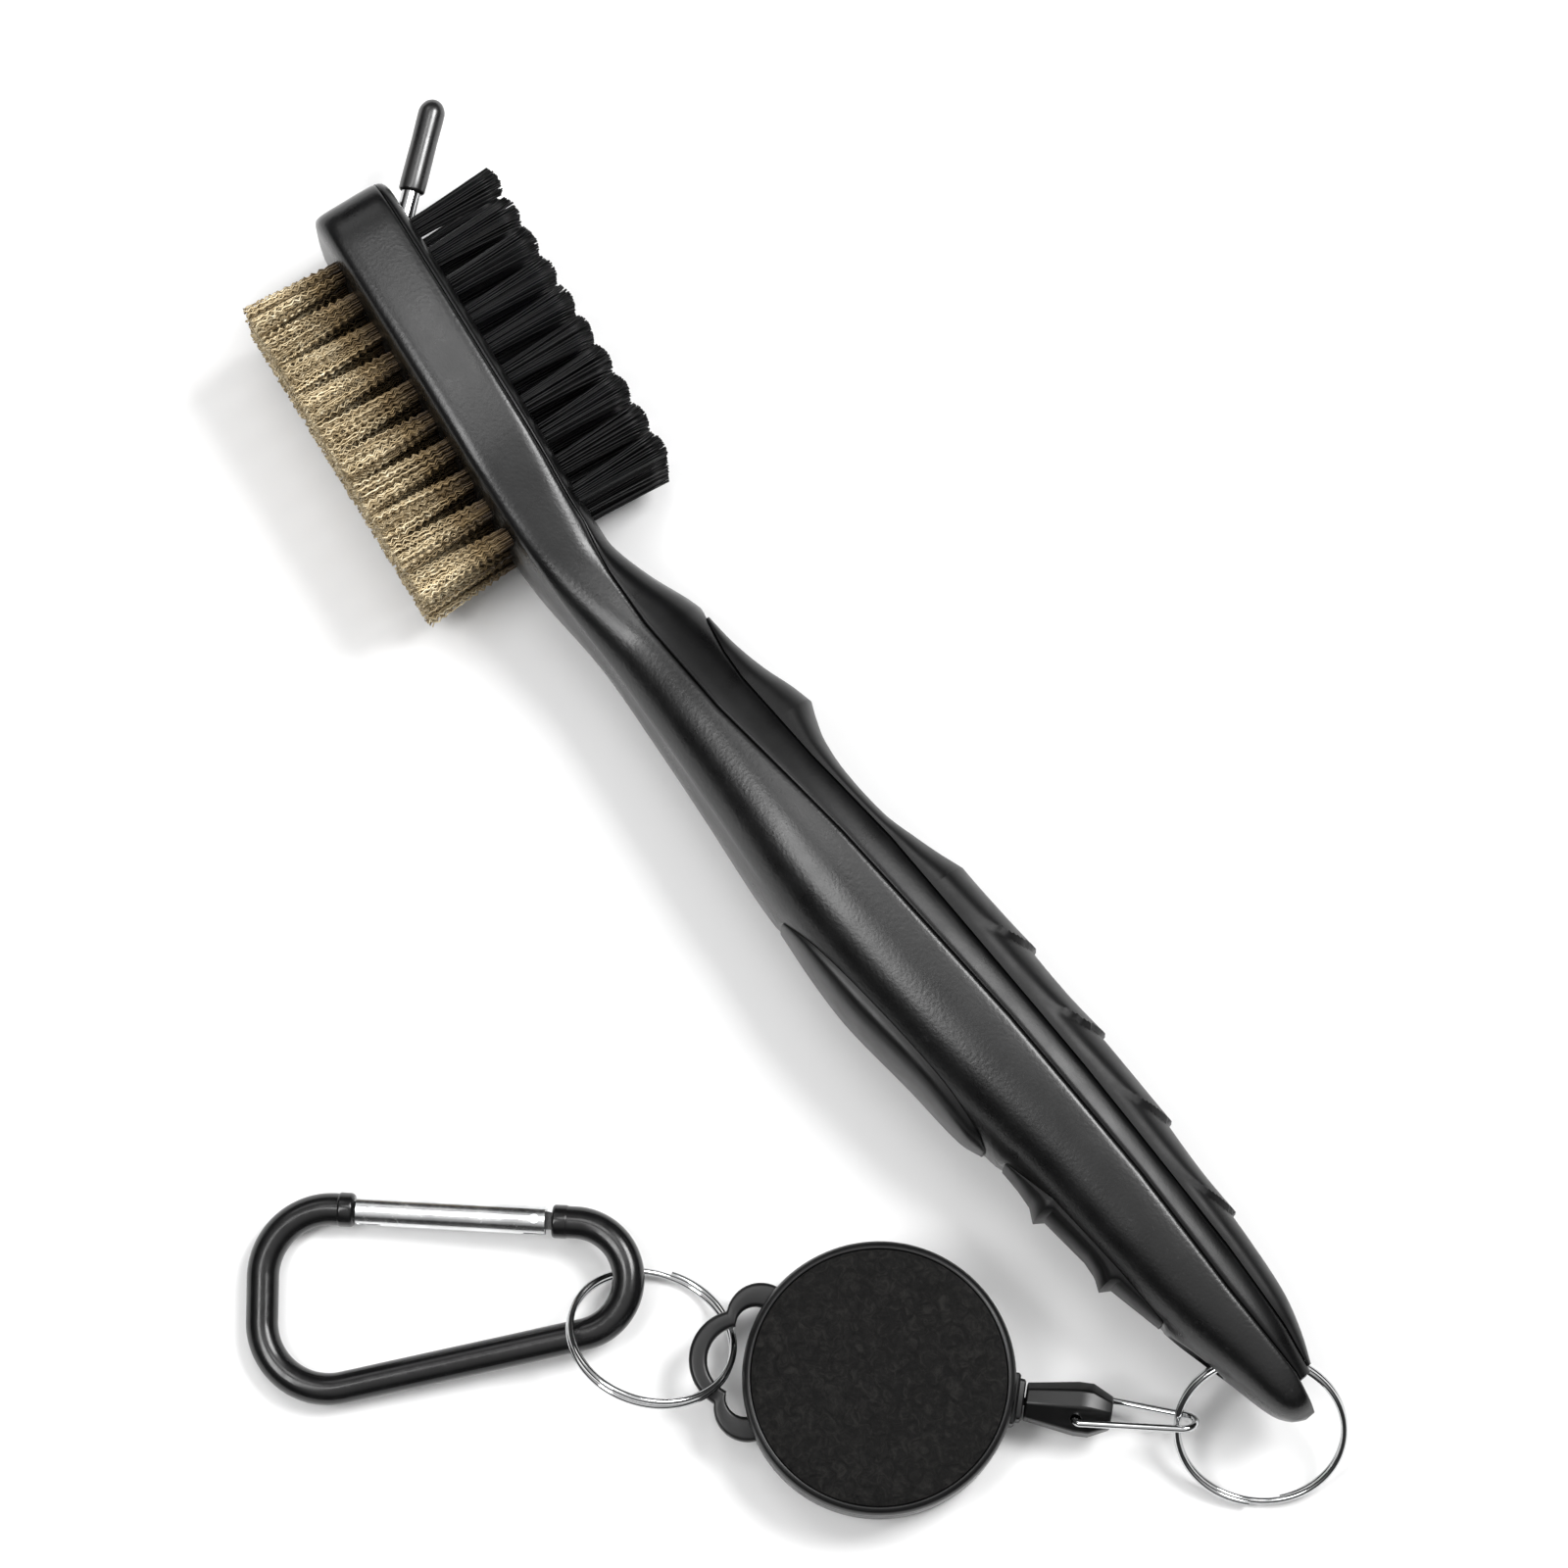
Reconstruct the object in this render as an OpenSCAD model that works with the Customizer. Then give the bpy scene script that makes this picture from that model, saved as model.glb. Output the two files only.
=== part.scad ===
/* [Brush] */
// Length of the brush body, head tip to handle end
brush_len = 192; // [188:1:200]
// Angle between the head and the handle
head_bend = 9; // [5:1:13]
// Half of the body's widest width, which is also the height of its middle when it lies on its side
half_wide = 12; // [11:0.5:13]
// Pitch of the tufts along the head
tuft_pitch = 4.4; // [4.2:0.05:4.4]
// Tufts in one row
tufts_per_row = 10; // [8:1:10]
// Distance between rows of tufts
row_gap = 6.2; // [5.6:0.2:6.4]
// Free length of the bronze bristles
bronze_len = 13; // [10:0.5:14]
// Free length of the nylon bristles
nylon_len = 12.3; // [10:0.1:14]
// Radius of the groove spike
spike_r = 1.2; // [1:0.05:1.3]

/* [Tether] */
// Middle radius of the two split rings
ring_r = 10.2; // [10:0.1:10.4]
// Radius of the split rings' wire
ring_wire_r = 0.45; // [0.4:0.01:0.5]
// Radius of the reel case
reel_r = 16.8; // [16.5:0.1:17.5]
// Thickness of the reel
reel_h = 10; // [10:0.1:10.6]
// Radius of the carabiner's rod
rod_r = 2; // [1.9:0.05:2.1]

/* [Hidden] */
$fn = 64;

// Middle of the whole object's box in the brush's own frame, whose zero is the handle's end
box_middle = [-94.59, -34.15];
seam = 0.03;       // gap at the joint lines between moulded layers
arc_steps = 7;     // steps on each side of a body section
station_step = 4;  // distance between body sections
ridge_pitch = 13.4;
ridge_first = -78;
ridge_last = -24.4;
ridge_rise = 0.6;

// Centre line: straight handle, an arc of bend_len, then the straight head
bend_len = 16;
bend_from = -133;
bend_r = bend_len / (head_bend * PI / 180);
head_from = bend_from - bend_len;

// Outlines against the station s along the centre line, s = 0 at the handle's end
body_low = [[-brush_len, -5.2], [-190, -5.8], [-150, -5.8], [-140, -6.1], [-127, -6], [-115, -7.2],
            [-103, -8.7], [-90, -10.4], [-75, -10.9], [-60, -10.5], [-44, -9], [-30, -8.3],
            [-18, -7], [-9, -5.1], [-3, -3.8], [-0.8, -2.4], [0, -1]];
body_high = [[-brush_len, 4.3], [-190, 4.9], [-150, 4.9], [-140, 4.7], [-137, 4.6], [-131, 5.9],
             [-124, 8.1], [-112, 9], [-90, 10.4], [-70, 11], [-50, 10.6], [-30, 8.9], [-15, 7],
             [-6, 4.4], [-2, 2.8], [-0.8, 1.9], [0, 0.8]];
body_half = [[-brush_len, 6], [-191, 9], [-188.5, 10.9], [-184, 11.6], [-170, half_wide],
             [-155, 11.5], [-145, 9.8], [-136, 8.3], [-126, 8.2], [-112, 10], [-96, 11.6],
             [-80, half_wide], [-56, 11.6], [-34, 10.2], [-16, 8], [-6, 6], [-2, 4.4],
             [-0.8, 3], [0, 1.2]];
squareness = [[-brush_len, 6], [-155, 6], [-140, 3.4], [-125, 2.4], [0, 2.3]];
core_line = [[-brush_len, 3.4], [-150, 3.4], [-141, 3.1], [-134, 1.7], [-126, 0.8], [-112, 0.6],
             [-90, 2], [-60, 2.7], [-35, 2.4], [-18, 1.5], [-5, 1.3], [0, 0.3]];
shell_line = [[-124, 8], [-121, 7], [-117, 6], [-113, 5.5], [-100, 5.5], [-86, 6.2], [-50, 5.8],
              [-22, 4.9], [-10, 4], [-4, 2.9]];
pad_high = [[-123, 7.9], [-117.6, 8.2], [-113, 9], [-108.8, 10.2], [-106, 10.7], [-104, 9.8],
            [-101, 8.7], [-96, 8], [-89, 8.2], [-84.5, 9.3], [-81, 10.3], [-78, 11.3], [-70, 11.1],
            [-58, 10.6], [-45, 10.3], [-30, 8.8], [-20, 7.9], [-13, 6.9], [-8, 5.3], [-4.6, 3.7]];
inlay_line = [[-87, -10.1], [-82, -9.3], [-72, -8.6], [-60, -8.3], [-53, -8.8], [-50, -9.4]];
inlay_low = [[-87, -10.6], [-80, -11.5], [-73, -11.9], [-62, -11.2], [-53, -10.8], [-50, -9.9]];
palm_line = [[-47, -8.7], [-40, -7.4], [-28, -6.9], [-20, -6.8]];
palm_low = [[-47, -9.1], [-44, -9], [-41.5, -9.4], [-39.7, -10.5], [-38, -9.3], [-32, -8.6],
            [-29.8, -8.9], [-28.1, -9.9], [-26, -8.5], [-20, -7.2]];

// Cubic curve through the rows [x, value] of a table
function row_of(t, x, i = 0) = i >= len(t) - 2 || x < t[i + 1][0] ? i : row_of(t, x, i + 1);
function rise(t, i) = let (a = max(i - 1, 0), b = min(i + 1, len(t) - 1))
    (t[b][1] - t[a][1]) / (t[b][0] - t[a][0]);
function curve(t, x) = let (i = row_of(t, x), h = t[i + 1][0] - t[i][0],
                            u = min(max((x - t[i][0]) / h, 0), 1))
    (2 * u ^ 3 - 3 * u ^ 2 + 1) * t[i][1] + (u ^ 3 - 2 * u ^ 2 + u) * h * rise(t, i)
    + (3 * u ^ 2 - 2 * u ^ 3) * t[i + 1][1] + (u ^ 3 - u ^ 2) * h * rise(t, i + 1);
function line(t, x) = lookup(x, t);

// Station s on the centre line, y across it towards the nylon side, z up
function turn(s) = head_bend * min(max((bend_from - s) / bend_len, 0), 1);
function centre(s) = s > bend_from ? [s, 0]
    : let (a = turn(s), past = max(head_from - s, 0))
      [bend_from - bend_r * sin(a) - past * cos(a), bend_r * (1 - cos(a)) + past * sin(a)];
function place(s, y, z) = let (a = turn(s), c = centre(s))
    [c[0] + y * sin(a), c[1] + y * cos(a), half_wide + z];

// Half width of the body's section at height y
function width_at(s, y) = let (lo = curve(body_low, s), hi = curve(body_high, s), n = line(squareness, s),
                               v = min(abs((y - (lo + hi) / 2) / ((hi - lo) / 2)), 1))
    max(curve(body_half, s) * (1 - v ^ n) ^ (1 / n), 0.25);

// One layer of the body between heights lo and hi, as a ring of points
function layer_side(s, lo, hi) = let (b0 = curve(body_low, s), b1 = curve(body_high, s),
                                      m = (b0 + b1) / 2, h = (b1 - b0) / 2,
                                      t0 = asin(min(max((lo - m) / h, -1), 1)),
                                      t1 = asin(min(max((hi - m) / h, -1), 1)))
    [for (i = [0:arc_steps]) m + h * sin(t0 + (t1 - t0) * i / arc_steps)];
function layer_ring(s, lo, hi) = let (ys = layer_side(s, lo, hi), n = len(ys))
    concat([for (y = ys) place(s, y, width_at(s, y))],
           [for (i = [n - 1:-1:0]) place(s, ys[i], -width_at(s, ys[i]))]);

// A rounded pad from the body's section at height base to the height tip
function pad_ring(s, base, tip, proud) = let (w = width_at(s, base) + proud)
    [for (i = [0:2 * arc_steps]) let (a = 90 * i / arc_steps)
        place(s, base + (tip - base) * abs(sin(a)) ^ 0.8, (a > 90 ? -1 : 1) * w * abs(cos(a)) ^ 0.8)];

function strip(n, rings) = [for (k = [0:rings - 2]) for (i = [0:n - 1])
    let (a = k * n + i, b = k * n + (i + 1) % n) each [[a, b, b + n], [a, b + n, a + n]]];
module skin(rings, flip = false) {
    n = len(rings[0]);
    last = (len(rings) - 1) * n;
    faces = concat([[for (i = [n - 1:-1:0]) i]], strip(n, len(rings)), [[for (i = [0:n - 1]) last + i]]);
    back = [for (f = faces) [for (i = [len(f) - 1:-1:0]) f[i]]];
    polyhedron([for (r = rings) each r], flip ? back : faces);
}

function between(from, to, step) = let (n = ceil((to - from) / step))
    [for (i = [0:n]) from + (to - from) * i / n];
tip_stations = [-brush_len, -brush_len + 0.5, -brush_len + 1.4, -188.5];
core_stations = concat(tip_stations, between(-185, -88, station_step), between(-87, -50, 3.7),
                       between(-47, -20, 2.7), [-16, -12, -9, -6, -4, -2, -0.8, 0]);
shell_stations = concat(tip_stations, between(-185, -124, station_step), [-121, -117, -113],
                        between(-108, -8, 5), [-4]);

// The core stops at the inlay's and the palm pad's beds
function core_low(s) = s >= -87 && s <= -50 ? line(inlay_line, s) + seam
    : s >= -47 && s <= -20 ? line(palm_line, s) + seam : curve(body_low, s);
function ridge(s) = s < ridge_first || s > ridge_last ? 0
    : ridge_rise * (((s - ridge_first) % ridge_pitch) / ridge_pitch) ^ 3;
function shell_high(s) = s < -123.9 ? curve(body_high, s) : line(shell_line, s);

// Head frame: x along the head from its tip, y towards the nylon side, z across the rows
head_tip = place(-brush_len, 0, 0);
first_tuft = 7.6;
board_low = -5.8;
board_high = 4.9;
hole_r = 1.5;
tuft_r = 1.45;
tip_r = 2.1;
hole_deep = 4;
anchor_h = 1;
module in_head() translate(head_tip) rotate([0, 0, -head_bend]) children();
// The spike's root takes the place of the middle nylon row's first tuft
module at_tufts(rows = [-1, 0, 1], skip = 0) in_head()
    for (r = rows, i = [(r == 0 ? skip : 0):tufts_per_row - 1])
        translate([first_tuft + i * tuft_pitch, 0, r * row_gap]) children();
module bronze_side() translate([0, board_low, 0]) rotate([90, 0, 0]) children();
module nylon_side() translate([0, board_high, 0]) rotate([-90, 0, 0]) children();
module tuft_hole() translate([0, 0, -hole_deep]) cylinder(r = hole_r, h = hole_deep + 2, $fn = 24);

// The spike leaves the nylon face near the head's tip, at 45 degrees
spike_foot = [4.4, board_high];
spike_in = 5;
spike_out = 14.2;
cap_gap = 3.6;
cap_len = 12.4;
cap_r = 1.7;
cap_clear = 0.05;
module in_spike() in_head() translate([spike_foot[0], spike_foot[1], 0]) rotate([0, 0, 135])
    rotate([0, 90, 0]) children();

// The ring hole crosses the handle's end at a slant
hole_at = [-8, 0, half_wide];
ring_turn = 44;
ring_hole_r = 2.3;
ring_slope = 35;
module ring_hole() translate(hole_at) rotate([0, 0, ring_turn]) rotate([0, 90, 0])
    cylinder(r = ring_hole_r, h = 40, center = true);

module handle_core() color("#2b2b2d") difference() {
    skin([for (s = core_stations) layer_ring(s, core_low(s), line(core_line, s))]);
    at_tufts() bronze_side() tuft_hole();
    at_tufts(skip = 1) nylon_side() tuft_hole();
    in_spike() translate([0, 0, -spike_in]) cylinder(r = spike_r + seam, h = 20);
    ring_hole();
}
module nylon_side_shell() color("#1a1a1b") difference() {
    skin([for (s = shell_stations) layer_ring(s, line(core_line, s) + seam, shell_high(s))]);
    at_tufts(skip = 1) nylon_side() tuft_hole();
    in_spike() translate([0, 0, -spike_in]) cylinder(r = spike_r + seam, h = 20);
    ring_hole();
}
module finger_grip_pad() color("#141415") difference() {
    skin([for (s = concat(between(-122, -80, 2), between(-78, -11, ridge_pitch / 8), [-9, -6.8, -4.7]))
        pad_ring(s, shell_high(s) + seam, line(pad_high, s) + ridge(s), 0.15)]);
    ring_hole();
}
module thumb_inlay() color("#101011")
    skin([for (s = between(-87, -50, 3.7)) pad_ring(s, line(inlay_line, s), line(inlay_low, s), 0.1)], true);
module palm_grip_pad() color("#141415")
    skin([for (s = between(-47, -20, 1.35)) pad_ring(s, line(palm_line, s), line(palm_low, s), 0.1)], true);

module tuft(len, end_r) {
    translate([0, 0, anchor_h - hole_deep]) cylinder(r = tuft_r, h = hole_deep - anchor_h + 0.5, $fn = 24);
    translate([0, 0, 0.5]) cylinder(r1 = tuft_r, r2 = end_r, h = len - 0.5, $fn = 24);
}
module bronze_row(r) color("#b08d57") at_tufts([r]) bronze_side() tuft(bronze_len, tip_r);
module nylon_row(r) color("#1c1c1c") at_tufts([r], 1) nylon_side() tuft(nylon_len, tip_r);
module bronze_tufts_top_row() bronze_row(1);
module bronze_tufts_middle_row() bronze_row(0);
module bronze_tufts_bottom_row() bronze_row(-1);
module nylon_tufts_top_row() nylon_row(1);
module nylon_tufts_middle_row() nylon_row(0);
module nylon_tufts_bottom_row() nylon_row(-1);
module anchor() translate([0, 0, anchor_h / 2 - hole_deep + seam])
    cube([2 * tuft_r - 0.2, 0.35, anchor_h - 2 * seam], center = true);
module bronze_tuft_anchors() color("#c9c9c9") at_tufts() bronze_side() anchor();
module nylon_tuft_anchors() color("#c9c9c9") at_tufts(skip = 1) nylon_side() anchor();

module groove_spike() color("#d8dadc") in_spike() {
    translate([0, 0, seam - spike_in]) cylinder(r = spike_r, h = spike_in + spike_out - 3);
    translate([0, 0, spike_out - 3 + seam]) cylinder(r1 = spike_r, r2 = 0.25, h = 3);
}
module spike_cap() color("#111112") in_spike() difference() {
    translate([0, 0, cap_gap]) union() {
        cylinder(r = cap_r, h = cap_len - cap_r);
        translate([0, 0, cap_len - cap_r]) sphere(r = cap_r);
    }
    translate([0, 0, cap_gap - 1]) cylinder(r = spike_r + cap_clear, h = spike_out - cap_gap + 1.2);
}

// Split rings: two turns of wire side by side
module split_ring() for (side = [-1, 1]) translate([0, 0, side * ring_wire_r * 0.98])
    rotate_extrude($fn = 96) translate([ring_r, 0]) circle(r = ring_wire_r, $fn = 24);
// The ring's apex stands a little above the hole's axis, so that its bow clears the bore
ring_lift = 1;
module handle_split_ring() color("#c8cacc") translate(hole_at) rotate([0, 0, ring_turn - 90])
    rotate([0, ring_slope, 0]) translate([ring_r - ring_lift, 0, 0]) split_ring();
ring_mid = hole_at + (ring_r - ring_lift) * [cos(ring_turn - 90) * cos(ring_slope),
                                             sin(ring_turn - 90) * cos(ring_slope), -sin(ring_slope)];
hook = ring_mid - ring_r * [cos(ring_turn), sin(ring_turn), 0];

// Tether frame: x towards the hook on the handle's ring, z up from the table
tether_turn = 41.5;
cord_z = 4.6;
loop_len = 12;
roll = 125;
loop_rise = atan((hook[2] - cord_z) / loop_len);
module in_tether() translate([hook[0], hook[1], 0]) rotate([0, 0, tether_turn]) children();
module in_reel() in_tether() translate([-36.8, 0, 0]) children();

// A rod bent round the corners [x, y, radius] of an open path
function unit(v) = v / norm(v);
function cut(p, i) = i == 0 || i == len(p) - 1 ? 0
    : let (a = unit(flat(p, i - 1) - flat(p, i)), b = unit(flat(p, i + 1) - flat(p, i)))
      p[i][2] / tan(acos(a * b) / 2);
function flat(p, i) = [p[i][0], p[i][1]];
// Points [x, y, heading] along the path, with arcs at its corners
function arc_points(p, i, steps) = let (
        a = unit(flat(p, i) - flat(p, i - 1)), b = unit(flat(p, i + 1) - flat(p, i)),
        side = a[0] * b[1] - a[1] * b[0] > 0 ? 1 : -1, bend = acos(a * b), from = atan2(a[1], a[0]),
        mid = flat(p, i) - a * cut(p, i) + side * p[i][2] * [-a[1], a[0]])
    [for (k = [0:steps]) let (h = from + side * bend * k / steps)
        [mid[0] + side * p[i][2] * sin(h), mid[1] - side * p[i][2] * cos(h), h]];
function heading(p, i) = atan2(p[i + 1][1] - p[i][1], p[i + 1][0] - p[i][0]);
function bent_path(p, steps) = let (n = len(p) - 1)
    concat([[p[0][0], p[0][1], heading(p, 0)]], [for (i = [1:n - 1]) each arc_points(p, i, steps)],
           [[p[n][0], p[n][1], heading(p, n - 1)]]);
function circle_at(q, r, sides) = [for (k = [0:sides - 1]) let (a = 360 * (k + 0.5) / sides)
    [q[0] - r * cos(a) * sin(q[2]), q[1] + r * cos(a) * cos(q[2]), r * sin(a)]];
module bent_rod(p, r, sides, steps) skin([for (q = bent_path(p, steps)) circle_at(q, r, sides)], true);

loop_wire_r = 0.45;
loop_half = 3.5;
loop_path = [[0, 1.3, 0], [0, loop_half, 0.7], [25.6, 0, 1.75], [0, -loop_half, 0.7], [0, -1.3, 0]];
module in_loop() in_tether() translate([-loop_len, 0, cord_z]) rotate([0, -loop_rise, 0])
    rotate([roll, 0, 0]) children();
module wire_loop() color("#c8cacc") in_loop() bent_rod(loop_path, loop_wire_r, 12, 10);

// Cord end fitting: a tapered eight-sided barrel, x from its chamfered end back to the reel
fit_len = 10.7;
fit_front = 4;
fit_stations = [[0, 3.6, 4], [2.6, 5.2, 6.6], [4.4, 5.2, 6.6], [fit_len, 4.2, 4.6]];
cut_share = 0.3;
function octagon(x, w, h) = let (c = cut_share * min(w, h))
    [for (q = [[1, 0], [0, 1], [-1, 0], [0, -1]]) each
        let (a = [w / 2, h / 2 - c], b = [w / 2 - c, h / 2])
        q[0] != 0 ? [[-x, q[0] * a[0], -q[0] * a[1]], [-x, q[0] * a[0], q[0] * a[1]]]
                  : [[-x, q[1] * b[0], q[1] * b[1]], [-x, -q[1] * b[0], q[1] * b[1]]]];
module in_fitting() in_tether() translate([-loop_len, 0, cord_z]) rotate([roll, 0, 0])
    translate([fit_front, 0, 0]) children();
pivot_clear = 0.07;
cord_r = 0.5;
knot_r = 1.15;
knot_x = 7.2;
module cord_end_fitting() color("#161617") difference() {
    in_fitting() skin([for (f = fit_stations) octagon(f[0], f[1], f[2])]);
    in_loop() rotate([90, 0, 0]) cylinder(r = loop_wire_r + pivot_clear, h = 12, center = true);
    in_fitting() translate([-knot_x, 0, 0]) sphere(r = knot_r + 0.1);
    in_fitting() translate([-fit_len - 1, 0, 0]) rotate([0, 90, 0])
        cylinder(r = cord_r + 0.05, h = fit_len - knot_x + 1);
}
module cord_knot() color("#202020") in_fitting() translate([-knot_x, 0, 0]) sphere(r = knot_r, $fn = 32);
lead_end = -36.8 + 15.7;
module cord_lead() color("#202020") in_tether() translate([lead_end, 0, cord_z]) rotate([0, 90, 0])
    cylinder(r = cord_r, h = -loop_len + fit_front - knot_x - knot_r - 0.02 - lead_end, $fn = 16);

// Reel: back case, front cover and face disc
wall = 1.3;
case_h = 7.6;
edge_r = 0.9;
post_r = 2;
post_clear = 0.05;
nozzle_w = 6.4;
nozzle_end = 17.9;
lug_z = 5.13;
lug_h = 2.15;
module case_profile(r, h) hull() {
    square([1, h]);
    translate([r - 1, h - 1]) square([1, 1]);
    translate([r - edge_r, edge_r]) circle(r = edge_r, $fn = 24);
}
module lug_outline() {
    translate([-17.3, 0]) circle(r = 6.15);
    for (s = [-1, 1]) translate([-15.4, s * 5.6]) circle(r = 4.2);
}
module lug_opening() {
    translate([-17, 0]) circle(r = 4.2);
    for (s = [-1, 1]) translate([-15.9, s * 4.4]) circle(r = 2.4);
}
module reel_back_case() color("#1b1b1c") in_reel() difference() {
    union() {
        rotate_extrude() case_profile(reel_r, case_h);
        translate([0, 0, lug_z]) linear_extrude(lug_h) difference() {
            lug_outline();
            lug_opening();
        }
        translate([reel_r - 3, -nozzle_w / 2, cord_z - 2.8]) cube([nozzle_end - reel_r + 3, nozzle_w, 5.6]);
    }
    translate([0, 0, wall]) cylinder(r = reel_r - wall, h = case_h);
    translate([0, 0, 0.5]) cylinder(r = post_r, h = 2);
    translate([0, 0, cord_z]) rotate([0, 90, 0]) cylinder(r = cord_r + 0.3, h = 30);
    for (s = [-1, 1]) translate([nozzle_end, s * nozzle_w / 2, cord_z]) rotate([0, 0, 45])
        cube([0.8, 0.8, 20], center = true);
}
disc_r = 15.6;
disc_h = 0.6;
module reel_front_cover() color("#1f1f20") in_reel() difference() {
    union() {
        translate([0, 0, reel_h]) mirror([0, 0, 1]) rotate_extrude()
            case_profile(reel_r, reel_h - case_h - seam);
        translate([0, 0, case_h - 0.8]) cylinder(r = reel_r - wall - 0.05, h = 1.5);
    }
    translate([0, 0, reel_h - disc_h]) cylinder(r = disc_r + 0.1, h = 2);
    translate([0, 0, 0]) cylinder(r = post_r, h = case_h + 1);
    translate([0, 0, case_h - 2]) difference() {
        cylinder(r = reel_r - 2 * wall, h = 1.9);
        cylinder(r = post_r + 1.4, h = 3);
    }
}
module reel_face_disc() color("#3a3a3b") in_reel() translate([0, 0, reel_h - disc_h + seam])
    cylinder(r = disc_r, h = disc_h - 0.2);
module spool_post() color("#b9bcc0") in_reel() translate([0, 0, 0.55])
    cylinder(r = post_r - 0.01, h = case_h + 0.4);

// Spool: a drum with two flanges, turning on the post, with the spring's well inside it
spool_low = 1.7;
spool_high = 6.5;
spool_r = 14.2;
drum_r = 8.2;
well_r = 7;
flange = 0.6;
module spool() color("#e8e6df") in_reel() difference() {
    union() {
        for (z = [spool_low, spool_high - flange]) translate([0, 0, z]) cylinder(r = spool_r, h = flange);
        translate([0, 0, spool_low]) cylinder(r = drum_r, h = spool_high - spool_low);
    }
    translate([0, 0, spool_low + 0.9]) difference() {
        cylinder(r = well_r, h = 8);
        translate([0, 0, -1]) cylinder(r = post_r + 0.9, h = 2);
    }
    cylinder(r = post_r + post_clear, h = 12);
}
spring_turns = 6;
spring_thick = 0.22;
function spiral(r0, r1, a) = let (r = r0 + (r1 - r0) * a / (360 * spring_turns)) [r * cos(a), r * sin(a)];
spring_in = post_r + 0.35;
spring_out = well_r - 0.45;
module spiral_spring() color("#8f9398") in_reel() translate([0, 0, spool_low + 2.2])
    linear_extrude(spool_high - spool_low - 2.4) polygon(concat(
        [for (a = [0:15:360 * spring_turns]) spiral(spring_in, spring_out, a)],
        [for (a = [360 * spring_turns:-15:0])
            spiral(spring_in + spring_thick, spring_out + spring_thick, a)]));
cord_rows = 4;
cord_layers = 4;
wound_low = spool_low + flange + 0.05;
module wound_cord() color("#202020") in_reel() rotate_extrude() union() {
    translate([drum_r + 0.03, wound_low + 0.3]) square([cord_layers * 2 * cord_r - 0.5, 2.9]);
    for (k = [0:cord_rows - 1])
        translate([drum_r + (2 * cord_layers - 1) * cord_r, wound_low + cord_r + k * 0.85])
            circle(r = cord_r, $fn = 24);
}
run_r = drum_r + cord_layers * 2 * cord_r + cord_r + 0.1;
run_far = 15.2;
module cord_inner_run() color("#202020") in_reel() translate([0, 0, cord_z])
    rotate([0, 0, -asin(run_r / run_far)]) translate([0, run_r, 0]) rotate([0, 90, 0])
    cylinder(r = cord_r, h = sqrt(run_far ^ 2 - run_r ^ 2), $fn = 16);

// Ring in the reel's lug
lug_ring_at = [-28.3, 1.25, 6.8];
lug_ring_slope = 34.1;
lug_ring_lean = 9.4;
module reel_split_ring() color("#c8cacc") in_reel() translate(lug_ring_at)
    rotate([-lug_ring_slope, lug_ring_lean, 0]) split_ring();

// Carabiner: x from its wide end to its narrow end, y towards the gate
wide_x = -0.3;
carabiner_at = [-76.15, -1.6, rod_r + 0.05];
carabiner_turn = 7.6;
carabiner_tilt = 4.1;
gate_from = [11.1, 12.28];
gate_to = [35.2, 10.93];
gate_turn = atan2(gate_to[1] - gate_from[1], gate_to[0] - gate_from[0]);
gate_len = norm(gate_to - gate_from);
rod_path = [[9.4, 12.37, 0], [wide_x, 12.92, 8.4], [wide_x, -11.85, 8.4], [89.2, 7.86, 7], [36.4, 10.85, 0]];
module in_carabiner() in_reel() translate(carabiner_at)
    rotate([0, -carabiner_tilt, carabiner_turn]) children();
module in_gate() in_carabiner() translate([gate_from[0], gate_from[1], 0])
    rotate([0, 0, gate_turn]) children();
tongue = 1.1;
sleeve_r = 1.8;
sleeve_bore = 1.25;
pin_r = 0.6;
pin_x = gate_len - 1.8;
latch_x = 1.7;
module carabiner_body() color("#0d0d0e") {
    in_carabiner() bent_rod(rod_path, rod_r, 20, 18);
    in_gate() {
        // nose collar and the hook that holds the latch pin, open towards the inside
        translate([-2.2, 0, 0]) rotate([0, 90, 0]) cylinder(r = rod_r + 0.15, h = 2.1);
        difference() {
            translate([-0.4, -1.1, -tongue / 2]) cube([3, 2.2, tongue]);
            translate([latch_x - 0.4, -2, -2]) cube([0.8, 2.35, 4]);
        }
        // hinge collar and the tongue that carries the pivot
        translate([gate_len + 0.35, 0, 0]) rotate([0, 90, 0]) cylinder(r = rod_r + 0.1, h = 2);
        difference() {
            union() {
                translate([pin_x, -1.1, -tongue / 2]) cube([2.6, 2.2, tongue]);
                translate([pin_x, 0, -tongue / 2]) cylinder(r = 1.1, h = tongue);
            }
            translate([pin_x, 0, -2]) cylinder(r = pin_r + 0.05, h = 4);
        }
    }
}
module gate_sleeve() color("#d4d6d8") in_gate() difference() {
    translate([0.15, 0, 0]) rotate([0, 90, 0]) cylinder(r = sleeve_r, h = pin_x + 1.3 - 0.15);
    translate([5, 0, 0]) rotate([0, 90, 0]) cylinder(r = sleeve_bore, h = pin_x - 6.1);
    // slots over the hook and over the hinge tongue
    translate([-1, -3, -tongue / 2 - 0.12]) cube([4.2, 6, tongue + 0.24]);
    translate([pin_x - 1.3, -3, -tongue / 2 - 0.12]) cube([6, 6, tongue + 0.24]);
    translate([pin_x, 0, -4]) cylinder(r = pin_r, h = 8);
    translate([latch_x, 0, -4]) cylinder(r = 0.3, h = 8);
}
module gate_pivot_pin() color("#c4c6c9") in_gate() translate([pin_x, 0, -sleeve_r])
    cylinder(r = pin_r - 0.01, h = 2 * sleeve_r);
module gate_latch_pin() color("#c4c6c9") in_gate() translate([latch_x, 0, -1.7])
    cylinder(r = 0.29, h = 3.4);
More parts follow.
